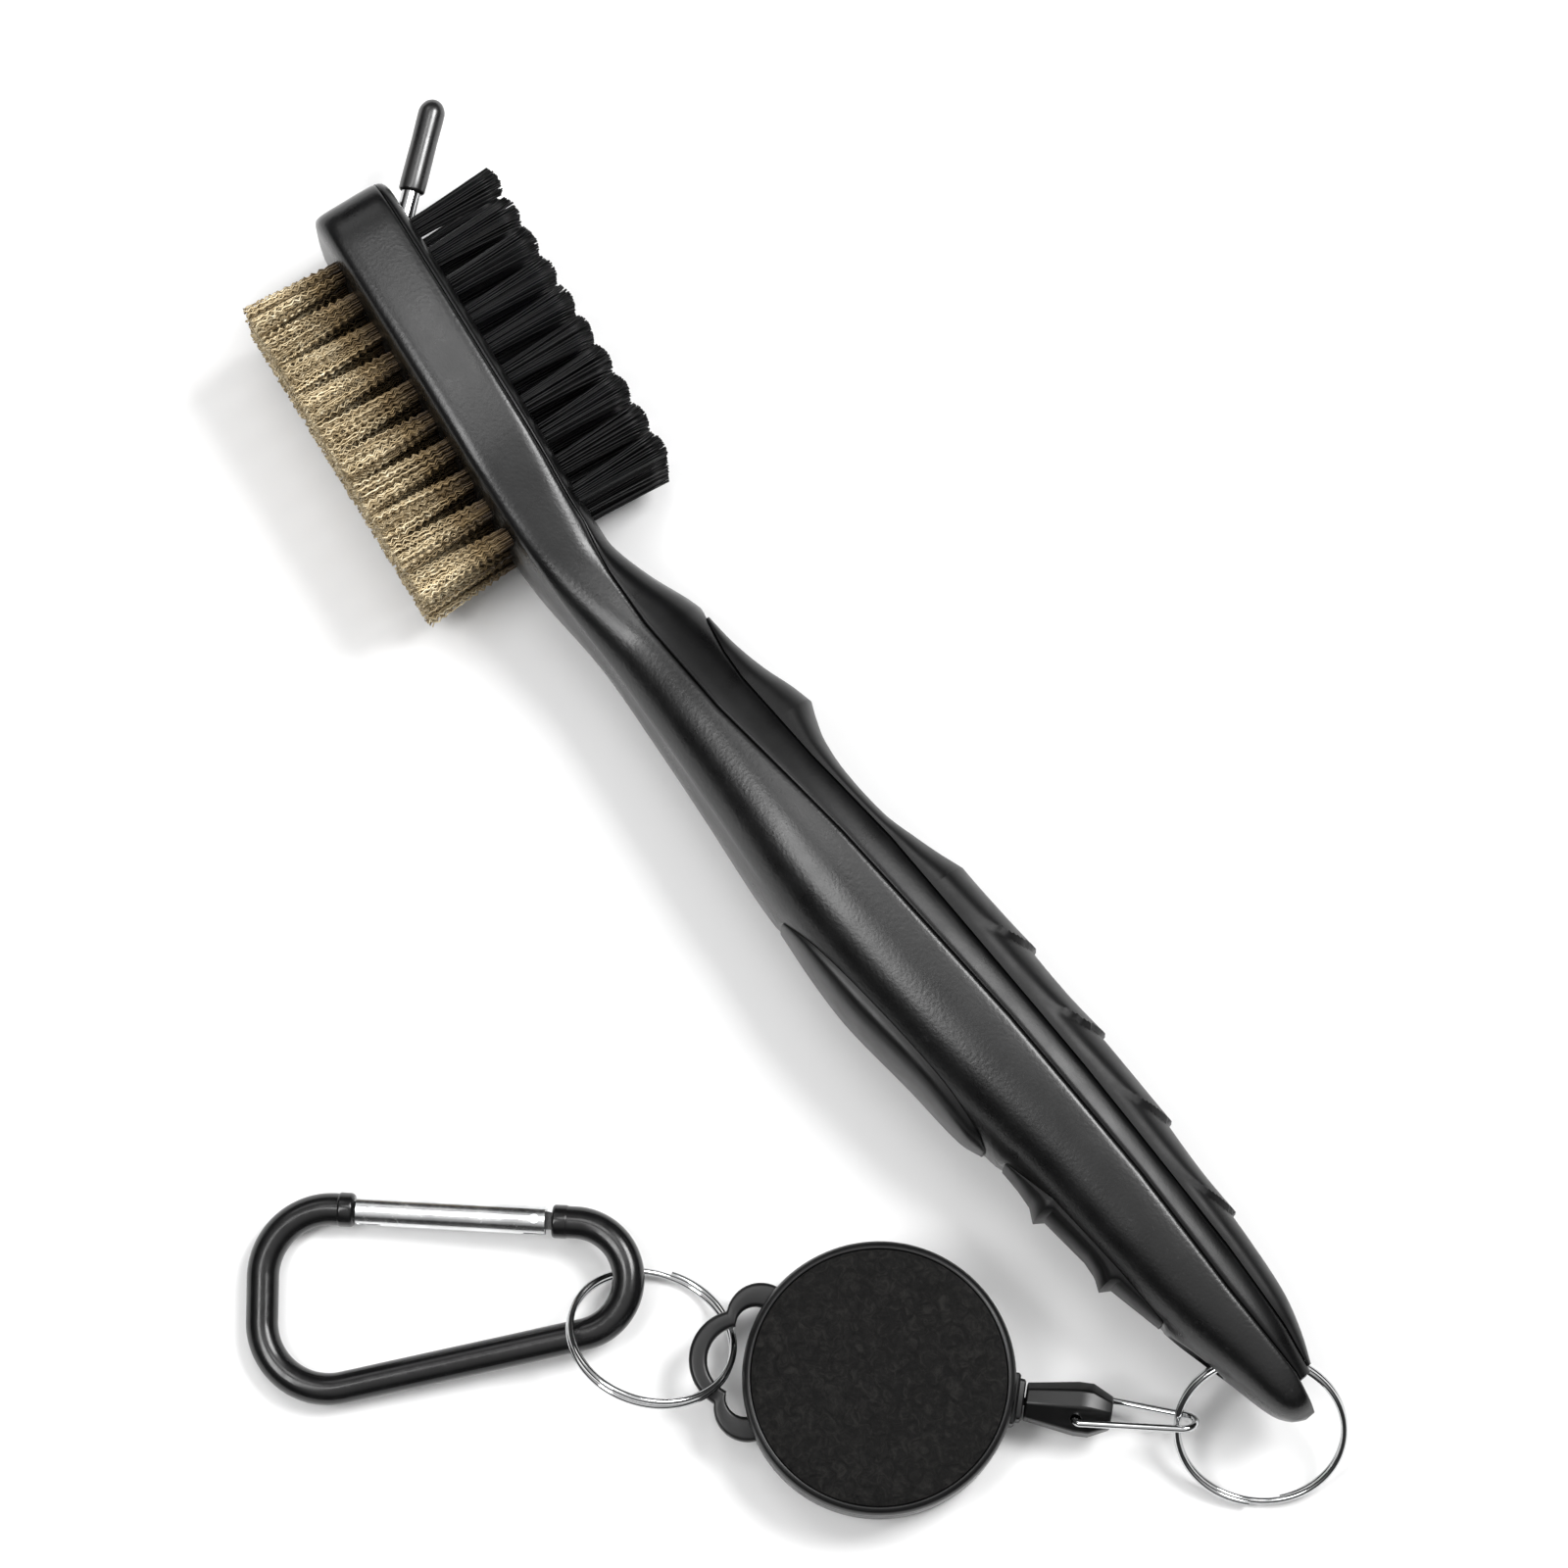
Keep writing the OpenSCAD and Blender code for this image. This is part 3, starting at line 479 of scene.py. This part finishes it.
def tube(path, radius, sides):
    """A tube along points, with a frame carried along the path."""
    path = [Vector(p) for p in path]
    n = len(path)
    tangents = [(path[min(i + 1, n - 1)] - path[max(i - 1, 0)]).normalized() for i in range(n)]
    normal = tangents[0].orthogonal().normalized()
    if abs(tangents[0].z) < 0.9:
        normal = (Vector((0, 0, 1)) - tangents[0] * tangents[0].z).normalized()
    rings = []
    for p, d in zip(path, tangents):
        normal = (normal - d * normal.dot(d)).normalized()
        side = d.cross(normal)
        ring = []
        for k in range(sides):
            a = 2 * math.pi * k / sides
            ring.append(tuple(p + normal * (radius * math.cos(a)) + side * (radius * math.sin(a))))
        rings.append(ring)
    return skin(rings)


def bent_path(corners, steps):
    """Points along straight runs with an arc of the given radius at each corner (x, y, radius)."""
    out = [Vector(corners[0][:2])]
    for i in range(1, len(corners) - 1):
        p0, p1, p2 = (Vector(corners[k][:2]) for k in (i - 1, i, i + 1))
        a, b = (p1 - p0).normalized(), (p2 - p1).normalized()
        bend = math.acos(max(-1, min(1, a.dot(b))))
        r = corners[i][2]
        side = 1 if a.x * b.y - a.y * b.x > 0 else -1
        mid = p1 - a * (r * math.tan(bend / 2)) + side * r * Vector((-a.y, a.x))
        start = math.atan2(a.y, a.x)
        for k in range(steps + 1):
            h = start + side * bend * k / steps
            out.append(mid + side * r * Vector((math.sin(h), -math.cos(h))))
    out.append(Vector(corners[-1][:2]))
    return [(p.x, p.y, 0) for p in out]


def cut_away(o, *cutters):
    """Boolean difference, applied to the mesh."""
    for points, faces, matrix in cutters:
        tool = new_object("tool", points, faces, o.data.materials[0], matrix, None)
        mod = o.modifiers.new("cut", "BOOLEAN")
        mod.operation, mod.object, mod.solver = "DIFFERENCE", tool, "EXACT"
        mesh = bpy.data.meshes.new_from_object(o.evaluated_get(bpy.context.evaluated_depsgraph_get()))
        o.modifiers.clear()
        o.data = mesh
        bpy.data.objects.remove(tool)
    return o


def stations(a, b, step):
    n = max(1, math.ceil((b - a) / step))
    return [a + (b - a) * i / n for i in range(n + 1)]


# ------------------------------------------------------------------ brush body
SEAM_DEEP, SEAM_WIDE = 0.3, 0.6
LIP = [0.0, 0.06, 0.14, 0.26, 0.42, 0.65]  # where the points across a rolled-in edge lie
FOLD_SHARE = 0.4                           # share of a section's points below its fold


def layer_ring(s, lo, hi, steps, low_lip, high_lip, fold=None, fold_deep=0.0):
    """One moulded layer's section between heights lo and hi, its edges rolled in at the joint lines."""
    b0, b1 = curve(BODY_LOW, s), curve(BODY_HIGH, s)
    m, h = (b0 + b1) / 2, (b1 - b0) / 2
    lip = min(1.0, (hi - lo) / 2.2)
    below, above = [lo + d * lip for d in LIP], [hi - d * lip for d in reversed(LIP)]
    t0 = math.asin(max(-1, min(1, (below[-1] - m) / h)))
    t1 = math.asin(max(-1, min(1, (above[0] - m) / h)))
    tc = math.asin((fold - m) / h) if fold is not None else t0 + (t1 - t0) * FOLD_SHARE
    n = round(steps * FOLD_SHARE)
    ts = ([t0 + (tc - t0) * i / n for i in range(n)]
          + [tc + (t1 - tc) * i / (steps - n) for i in range(steps - n + 1)])
    ys = below[:-1] + [m + h * math.sin(v) for v in ts] + above[1:]
    side = []
    for y in ys:
        w = width_at(s, y)
        for deep, edge in ((low_lip, y - lo), (high_lip, hi - y)):
            f = min(1, max(0, edge / (SEAM_WIDE * lip)))
            w -= deep * lip * (1 - math.sqrt(1 - (1 - f) ** 2))
        if fold is not None and y < fold:
            f = (fold - y) / (fold - lo)
            w *= 1 - fold_deep * f ** 0.7 * (1 - 0.45 * f)
        side.append((y, max(w, 0.2)))
    return [place(s, y, w) for y, w in side] + [place(s, y, -w) for y, w in reversed(side)]


def core_low(s):
    """The core's lower edge, which stops at the beds of the inlay and the palm pad."""
    if -87 <= s <= -50:
        return line(INLAY_LINE, s) + SEAM
    if -47 <= s <= -20:
        return line(PALM_LINE, s) + SEAM
    return curve(BODY_LOW, s)


def shell_high(s):
    return curve(BODY_HIGH, s) if s < -123.9 else line(SHELL_LINE, s)


TIPS = [-192, -191.8, -191.5, -191.1, -190.6, -190, -189.3, -188.5, -187.5, -186.3]
FOLD = [(-192, -4.6), (-149, -5.0), (-145, -4.9), (-140, -4.8), (-130, -5.2), (-119, -6.4), (-107, -7.9),
        (-92, -9.0), (-78, -6.5), (-60, -4.5), (-30, -4), (0, -0.6)]


def fold_at(s):
    """The crease that splits the neck's top from its lower flank, and how deep it is."""
    low = core_low(s)
    ease = max(0, min(1, (s + 148) / 6, (-90 - s) / 20))
    return max(line(FOLD, s), low + 0.1 * (line(CORE_LINE, s) - low)), 0.5 * ease


core_rings = [layer_ring(s, core_low(s), line(CORE_LINE, s), 30, 0, SEAM_DEEP, *fold_at(s))
              for s in TIPS + stations(-185, -6, 1.0) + [-5, -4, -3, -2.2, -1.5, -0.9, -0.4, 0]]
core = new_object("core_moulding", *skin(core_rings), core_mat, sharp=40)
shell_rings = [layer_ring(s, line(CORE_LINE, s) + SEAM, shell_high(s), 12, SEAM_DEEP,
                          SEAM_DEEP * min(1, max(0, (s + 123) / 4)))
               for s in TIPS + stations(-185, -4, 1.0)]
shell = new_object("nylon_side_moulding", *skin(shell_rings), shell_mat, sharp=40)
HOLE_R = 2.3
hole = lathe([(0, -25), (HOLE_R, -25), (HOLE_R, 25), (0, 25)], 40)
in_bore = WORLD @ Matrix.Translation(HOLE_AT) @ turn("Z", RING_TURN) @ turn("Y", 90)
cut_away(core, (*hole, in_bore))
cut_away(shell, (*hole, in_bore))
put(core, "brush", "handle_core_plastic", "handle_core")
put(shell, "brush", "shell_plastic", "nylon_side_shell")


def pad_top(s):
    for part in PAD_PARTS:
        if s <= part[-1][0]:
            return curve(part, s)
    return PAD_PARTS[-1][-1][1]


RIDGES = [-64.6, -51.2, -37.8, -24.4]
FIRST_SCALE, SCALE_RISE, SCALE_SLANT = -78.0, 0.62, 7.5
PAD_POWER = 0.8  # rounds a pad's section


def shingle(s, start):
    """Height of overlapping scales, each rising to a step at its own end."""
    back = FIRST_SCALE
    for edge in RIDGES:
        if s <= edge + start:
            f = (s - (back + start)) / (edge - back)
            return max(f, 0) ** 2.2
        back = edge
    return 0.0


def finger_ring(s):
    base, top = shell_high(s) + SEAM, pad_top(s)
    w = width_at(s, base) + 0.15
    ring = []
    steps = 20
    for i in range(2 * steps + 1):
        a = math.pi / 2 * i / steps
        up_share = abs(math.sin(a)) ** PAD_POWER
        across = abs(math.cos(a)) ** PAD_POWER
        y = base + (top - base) * up_share
        z = (-1 if i > steps else 1) * w * across
        if FIRST_SCALE <= s <= RIDGES[-1]:
            share = max(0.0, (up_share - 0.25) / 0.75)
            lift = SCALE_RISE * shingle(s, -SCALE_SLANT * (1 - share) ** 1.3) * min(1, share * 2.4)
            y += lift * (0.35 + 0.65 * up_share)
            z += lift * 0.55 * across * (-1 if i > steps else 1)
        ring.append(place(s, y, z))
    return ring


finger_at = sorted(set([-122 + 0.5 * i for i in range(223)] + [-106.1, -105.9, -78.1, -77.9]
                       + [r + d for r in RIDGES for d in (-0.08, 0.0, 0.08)]
                       + [-10.2, -9.4, -8.4, -7.4, -6.4, -5.4, -4.7]))
finger_at = [s for s in finger_at if s <= -4.7]
finger = new_object("finger_pad", *skin([finger_ring(s) for s in finger_at]), pad_mat, sharp=32)
cut_away(finger, (*hole, in_bore))
put(finger, "brush", "pad_rubber", "finger_grip_pad")


def low_pad_ring(s, base, tip):
    """A section of a pad on the bronze side, from height base down to the height tip."""
    w = width_at(s, base) + 0.1
    steps = 16
    ring = []
    for i in range(2 * steps + 1):
        a = math.pi / 2 * i / steps
        ring.append(place(s, base + (tip - base) * abs(math.sin(a)) ** PAD_POWER,
                          (-1 if i > steps else 1) * w * abs(math.cos(a)) ** PAD_POWER))
    return ring


inlay = new_object("thumb_leaf", *skin([low_pad_ring(s, curve(INLAY_LINE, s), curve(INLAY_LOW, s))
                                        for s in stations(-87, -50, 0.6)]), inlay_mat, sharp=32)
put(inlay, "brush", "inlay_plastic", "thumb_inlay")
palm_at = sorted(set(stations(-47, -20, 0.5) + [-39.7, -38.9, -28.1, -27.3]))
palm = new_object("palm_pad", *skin([low_pad_ring(s, line(PALM_LINE, s), line(PALM_LOW, s))
                                     for s in palm_at]), pad_mat, sharp=32)
put(palm, "brush", "pad_rubber", "palm_grip_pad")

# ------------------------------------------------------------------ bristles
FIRST_TUFT, TUFT_PITCH, TUFTS, ROW_GAP = 7.6, 4.4, 10, 6.2
BOARD_LOW, BOARD_HIGH = -5.8, 4.9
BRONZE_LEN, NYLON_LEN = 13.0, 12.3
GOLDEN_ANGLE = 2.399963
ROOT_R = 1.3      # radius of a tuft where it leaves the board
SPREAD = 1.25     # how a tuft opens towards its tips
ROOT_SUNK = 0.6   # how deep a strand starts in its hole


def strand_mesh(name, row, side, material, seed):
    """All the strands of one row of tufts as one mesh, with each point's way along its strand and a tone."""
    rng = random.Random(seed)
    bronze = side < 0
    count, radius, sides = (76, 0.145, 3) if bronze else (72, 0.15, 4)
    points, faces, along, tones = [], [], [], []
    length, board = (BRONZE_LEN, BOARD_LOW) if bronze else (NYLON_LEN, BOARD_HIGH)
    segments = 24 if bronze else 5
    spread_r, lean = (2.16, 0.16) if bronze else (2.02, 0.05)
    for i in range(TUFTS):
        if not bronze and row == 0 and i == 0:
            continue
        cx, cz = FIRST_TUFT + i * TUFT_PITCH, row * ROW_GAP
        for k in range(count):
            f = math.sqrt((k + 0.5) / count)
            a = k * GOLDEN_ANGLE + rng.uniform(-0.25, 0.25)
            u, v = f * math.cos(a), f * math.sin(a)
            spread = spread_r * (1 + rng.uniform(-0.05, 0.05))
            lean_x, lean_z = rng.gauss(0, lean), rng.gauss(0, lean)
            tall = length
            if bronze:
                tall += rng.uniform(-0.35, 0.0)
            else:
                tall -= 0.75 * (u * u + v * v) + rng.uniform(0, 0.18)
            phase = rng.uniform(-0.7, 0.7)
            wave = rng.uniform(0.22, 0.32) if bronze else 0.0
            pitch = rng.uniform(1.12, 1.24)
            turn_dir = rng.uniform(-0.3, 0.9)
            path = []
            for j in range(segments + 1):
                h = j / segments
                h2 = h ** SPREAD
                r = ROOT_R + (spread - ROOT_R) * h2
                x = cx + u * r + lean_x * h2
                z = cz + v * r + lean_z * h2
                y = tall * h
                if bronze:
                    w = wave * math.sin(2 * math.pi * y / pitch + phase) * min(1, h * 6)
                    x += w * math.cos(turn_dir)
                    z += w * math.sin(turn_dir)
                path.append((x, side * (y - (ROOT_SUNK if j == 0 else 0)), z))
            base = len(points)
            tone = rng.uniform(0.0, 1.0)
            for j, (x, y, z) in enumerate(path):
                rr = radius * (0.85 if j == segments and not bronze else 1)
                for q in range(sides):
                    b = 2 * math.pi * q / sides + phase
                    points.append((x + rr * math.cos(b), board + y, z + rr * math.sin(b)))
                    along.append(j / segments)
                    tones.append(tone)
            for j in range(segments):
                for q in range(sides):
                    p, n = base + j * sides + q, base + j * sides + (q + 1) % sides
                    faces.append((p, n, n + sides, p + sides))
            faces.append(tuple(base + segments * sides + q for q in range(sides)))
    mesh = bpy.data.meshes.new(name)
    mesh.from_pydata([(IN_HEAD @ Vector(p)) * MM for p in points], [], faces)
    mesh.validate()
    mesh.attributes.new("along", "FLOAT", "POINT").data.foreach_set("value", along)
    mesh.attributes.new("tone", "FLOAT", "POINT").data.foreach_set("value", tones)
    mesh.materials.append(material)
    mesh.shade_smooth()
    bm = bmesh.new()
    bm.from_mesh(mesh)
    bmesh.ops.recalc_face_normals(bm, faces=bm.faces)
    bm.to_mesh(mesh)
    bm.free()
    o = bpy.data.objects.new(name, mesh)
    bpy.context.collection.objects.link(o)
    return o


for row, where in ((1, "top"), (0, "middle"), (-1, "bottom")):
    put(strand_mesh(f"bronze_wires_{where}", row, -1, bronze_mat, 11 + row), "brush", "bronze_wire",
        f"bronze_tufts_{where}_row")
    put(strand_mesh(f"nylon_filaments_{where}", row, 1, nylon_mat, 21 + row), "brush", "nylon_filament",
        f"nylon_tufts_{where}_row")

# ------------------------------------------------------------------ spike and cap
CAP_GAP, CAP_LEN, CAP_R, DOME_H = 3.6, 12.4, 1.7, 2.0
cap_profile = rounded([(0, CAP_GAP), (1.32, CAP_GAP), (1.66, CAP_GAP + 0.25), (CAP_R, CAP_GAP + 1.5),
                       (CAP_R - 0.04, CAP_GAP + 7), (CAP_R, CAP_GAP + CAP_LEN - 2.6)], 0.2)
dome = [(CAP_R * math.cos(a), CAP_GAP + CAP_LEN - DOME_H + DOME_H * math.sin(a))
        for a in np.linspace(0.1, math.pi / 2, 12)]
cap = new_object("vinyl_cap", *lathe(cap_profile + dome, 48), cap_mat, IN_SPIKE, 50)
put(cap, "spike_cap", "cap_vinyl", "spike_cap")


# ------------------------------------------------------------------ split rings
def split_ring(name, matrix, start, body, node):
    """Two turns of flat-ground wire side by side, crossing over where the coil steps across."""
    points = []
    steps, turns, cross_from, cross_long = 260, 1.94, 0.86, 0.28
    for i in range(steps + 1):
        f = i / steps
        a = start + 2 * math.pi * turns * f
        blend = min(1, max(0, (f * turns - cross_from) / cross_long))
        z = (-1 + 2 * (blend * blend * (3 - 2 * blend))) * WIRE_R * 0.93
        points.append((RING_R * math.cos(a), RING_R * math.sin(a), z))
    o = new_object(name, *tube(points, WIRE_R * 0.94, 14), chrome_mat, matrix, 50)
    return put(o, body, "ring_chrome", node)


split_ring("handle_ring_coil", IN_RING, math.radians(20), "handle_ring", "handle_split_ring")
split_ring("reel_ring_coil", IN_LUG_RING, math.radians(100), "lug_ring", "reel_split_ring")

# ------------------------------------------------------------------ wire loop and cord end
loop_corners = [(0, 1.3, 0), (0, 3.5, 0.7), (25.6, 0, 1.75), (0, -3.5, 0.7), (0, -1.3, 0)]
put(new_object("loop_wire", *tube(bent_path(loop_corners, 16), WIRE_R, 16), chrome_mat, IN_LOOP, 50),
    "wire_loop", "ring_chrome", "wire_loop")


def octagon(x, w, h):
    c = 0.3 * min(w, h)
    w, h = w / 2, h / 2
    return [(-x, w, -(h - c)), (-x, w, h - c), (-x, w - c, h), (-x, -(w - c), h),
            (-x, -w, h - c), (-x, -w, -(h - c)), (-x, -(w - c), -h), (-x, w - c, -h)]


BARREL = ((0, 3.6, 4), (2.6, 5.2, 6.6), (4.4, 5.2, 6.6), (10.7, 4.2, 4.6))  # x, width and height
BORE_R = 0.62
barrel = new_object("cord_end_barrel", *skin([octagon(*v) for v in BARREL]), fitting_mat, IN_FITTING, 30)
bore = moved(lathe([(0, -6), (BORE_R, -6), (BORE_R, 6), (0, 6)], 24), turn("X", 90))
cut_away(barrel, (*bore, IN_LOOP))
mod = barrel.modifiers.new("edges", "BEVEL")
mod.width, mod.segments, mod.limit_method, mod.angle_limit = 0.25 * MM, 3, "ANGLE", math.radians(25)
put(barrel, "cord_end", "fitting_plastic", "cord_end_fitting")

KNOT_X, KNOT_REACH = 7.2, 1.17
LEAD_FROM, LEAD_TO = REEL_AT + 15.7, -LOOP_LEN + FIT_FRONT - KNOT_X - KNOT_REACH
lead = tube([(x, 0, CORD_Z) for x in stations(LEAD_FROM, LEAD_TO, 0.1)], CORD_R, 16)
lead = new_object("cord_run", *lead, cord_mat, IN_TETHER, 50)
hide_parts("cord_lead")
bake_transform(lead)

# ------------------------------------------------------------------ reel case
REEL_R, CASE_H, REEL_H, LUG_Z, LUG_H = 16.8, 7.6, 10.0, 5.13, 2.15
LUG_X = -17  # middle of the lug, whose outline and opening are unions of circles (x, y, radius)
LUG_OUT = [(-17.3, 0, 6.15), (-15.4, 5.6, 4.2), (-15.4, -5.6, 4.2)]
LUG_IN = [(-17, 0, 4.2), (-15.9, 4.4, 2.4), (-15.9, -4.4, 2.4)]


def reach(circles, angle):
    """How far a ray from the lug's middle goes before it leaves the circles."""
    d = Vector((math.cos(angle), math.sin(angle)))
    best = 0.0
    for x, y, r in circles:
        c = Vector((x - LUG_X, y))
        along = c.dot(d)
        off = r * r - (c.length_squared - along * along)
        if off > 0:
            best = max(best, along + math.sqrt(off))
    return best


def lug_section(angle):
    """The lug's section on a ray from its middle, or None where the case takes its place."""
    d = Vector((math.cos(angle), math.sin(angle)))
    inner, outer = reach(LUG_IN, angle), reach(LUG_OUT, angle)
    while (Vector((LUG_X, 0)) + d * inner).length < 15.8:
        inner += 0.02
        if inner >= outer - 1.2:
            return None
    ring = []
    bevel = min(0.55, (outer - inner) / 2.2)
    for sx, sz, a0 in ((1, 1, 0), (-1, 1, 90), (-1, -1, 180), (1, -1, 270)):
        for k in range(5):
            a = math.radians(a0 + 90 * k / 4)
            r = (outer - bevel if sx > 0 else inner + bevel) + bevel * math.cos(a)
            z = LUG_Z + LUG_H / 2 + sz * (LUG_H / 2 - bevel) + bevel * math.sin(a)
            ring.append((LUG_X + d.x * r, d.y * r, z))
    return ring


lug_rings = [r for r in (lug_section(math.radians(a)) for a in np.arange(60, 300.1, 1.5)) if r]
put(new_object("reel_lug", *skin(lug_rings), case_mat, IN_REEL, 50),
    "reel", "reel_case_plastic", "reel_back_case")
back_case = rounded([(0, 0), (13.2, 0), (13.5, 0.25), (15.9, 0.25), (REEL_R - 0.1, 1.0),
                     (REEL_R - 0.02, CASE_H - 0.28), (REEL_R - 0.25, CASE_H), (15.55, CASE_H), (15.5, 1.35),
                     (0, 1.3)], 0.45)
put(new_object("reel_back_shell", *lathe(back_case, 128), case_mat, IN_REEL, 30),
    "reel", "reel_case_plastic", "reel_back_case")
cover = [(0, CASE_H + 0.2), (15.2, CASE_H + 0.2)] + rounded([
    (15.3, CASE_H - 0.75), (15.42, CASE_H - 0.7), (15.44, CASE_H + SEAM), (REEL_R - 0.25, CASE_H + SEAM),
    (REEL_R - 0.02, CASE_H + 0.3), (REEL_R - 0.04, REEL_H - 0.95), (REEL_R - 0.35, REEL_H - 0.3),
    (15.95, REEL_H - 0.06), (15.72, REEL_H - 0.14), (15.7, REEL_H - 0.6), (0, REEL_H - 0.62)], 0.3)
put(new_object("reel_cover_shell", *lathe(cover, 128), case_mat, IN_REEL, 30),
    "reel", "reel_case_plastic", "reel_front_cover")
face = [(0, REEL_H - 0.57), (15.5, REEL_H - 0.57), (15.66, REEL_H - 0.4), (15.62, REEL_H - 0.22),
        (15.3, REEL_H - 0.13), (13.5, REEL_H - 0.08), (9, REEL_H - 0.03), (4, REEL_H - 0.01), (0, REEL_H)]
put(new_object("reel_face", *lathe(face, 128), disc_mat, IN_REEL, 30),
    "reel", "face_disc_plastic", "reel_face_disc")


def nozzle_ring(x, half_w, half_h, bevel):
    ring = []
    for cy, cz, a0 in ((1, 1, 0), (-1, 1, 90), (-1, -1, 180), (1, -1, 270)):
        for k in range(5):
            a = math.radians(a0 + 90 * k / 4)
            ring.append((x, cy * (half_w - bevel) + bevel * math.cos(a),
                         CORD_Z + cz * (half_h - bevel) + bevel * math.sin(a)))
    return ring


NOZZLE = ((14.5, 3.2, 2.8, 0.3), (16.9, 3.2, 2.8, 0.3), (17.15, 2.95, 2.6, 0.3),
          (17.2, 2.6, 2.35, 0.5), (17.7, 2.55, 2.3, 0.5), (17.9, 2.3, 2.1, 0.5))
nozzle = new_object("reel_nozzle", *skin([nozzle_ring(*v) for v in NOZZLE]), case_mat, IN_REEL, 30)
mouth = lathe([(0, 14), (0.8, 14), (0.8, 17.6), (1.1, 18.2), (0, 18.2)], 24)
cut_away(nozzle, (*moved(mouth, shift(0, 0, CORD_Z) @ turn("Y", 90)), IN_REEL))
put(nozzle, "reel", "reel_case_plastic", "reel_back_case")

# ------------------------------------------------------------------ carabiner
rod_corners = [(9.4, 12.37, 0), (-0.3, 12.92, 8.4), (-0.3, -11.85, 8.4), (89.2, 7.86, 7), (36.4, 10.85, 0)]
ROD_R = 2.0
rod = tube(bent_path(rod_corners, 40), ROD_R, 32)
put(new_object("carabiner_rod", *rod, anodised_mat, IN_CARABINER, 50),
    "carabiner", "carabiner_anodised", "carabiner_body")


def box(lo, hi, bevel):
    """A block whose upright edges are rounded."""
    (x0, y0, z0), (x1, y1, z1) = lo, hi
    ring = []
    steps = 4
    for cx, cy, a0 in ((x1 - bevel, y1 - bevel, 0), (x0 + bevel, y1 - bevel, 90),
                       (x0 + bevel, y0 + bevel, 180), (x1 - bevel, y0 + bevel, 270)):
        for k in range(steps + 1):
            a = math.radians(a0 + 90 * k / steps)
            ring.append((cx + bevel * math.cos(a), cy + bevel * math.sin(a)))
    return skin([[(x, y, z) for x, y in ring] for z in (z0, z1)])


ALONG_X = turn("Y", 90)
nose = moved(lathe(rounded([(0, -2.2), (1.95, -2.2), (2.13, -1.9), (2.13, -0.5), (1.85, -0.1), (0, -0.1)],
                           0.2), 40), ALONG_X)
hook_side = box((-0.4, -1.1, -0.55), (2.6, 1.1, 0.55), 0.5)
collar = moved(lathe(rounded([(0, GATE_LEN + 0.35), (1.9, GATE_LEN + 0.35), (2.08, GATE_LEN + 0.6),
                              (2.08, GATE_LEN + 2.1), (1.9, GATE_LEN + 2.35), (0, GATE_LEN + 2.35)],
                             0.2), 40), ALONG_X)
hinge_tongue = box((PIN_X - 1.1, -1.1, -0.55), (PIN_X + 2.6, 1.1, 0.55), 1.05)
ends = new_object("carabiner_ends", *join([nose, collar, hinge_tongue, hook_side]), anodised_mat, IN_GATE, 30)
put(ends, "carabiner", "carabiner_anodised", "carabiner_body")

# ------------------------------------------------------------------ CAD nodes that keep their shape
for node, material in {
        "groove_spike": spike_mat, "bronze_tuft_anchors": anchor_mat, "nylon_tuft_anchors": anchor_mat,
        "cord_knot": cord_mat, "spool_post": steel_mat, "spiral_spring": steel_mat,
        "cord_inner_run": cord_mat, "spool": spool_mat, "wound_cord": cord_mat, "gate_sleeve": gate_mat,
        "gate_pivot_pin": steel_mat, "gate_latch_pin": steel_mat, "gate_spring": steel_mat,
        "gate_plunger": steel_mat}.items():
    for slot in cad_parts[node].material_slots:
        slot.material = material

# ------------------------------------------------------------------ floor
floor_mat = Nodes("paper_floor")
floor_mat.finish(floor_mat.ramp(floor_mat.noise(6, 3), [(0.3, 0.86), (0.7, 0.9)]),
                 floor_mat.ramp(floor_mat.noise(20), [(0.3, 0.7), (0.7, 0.8)]))
bm = bmesh.new()
bmesh.ops.create_grid(bm, x_segments=1, y_segments=1, size=3)
floor_mesh = bpy.data.meshes.new("floor")
bm.to_mesh(floor_mesh)
bm.free()
floor_mesh.materials.append(floor_mat.mat)
floor = bpy.data.objects.new("floor", floor_mesh)
floor.location = (0, 0, -0.2 * MM)
bpy.context.collection.objects.link(floor)

bpy.context.view_layer.update()
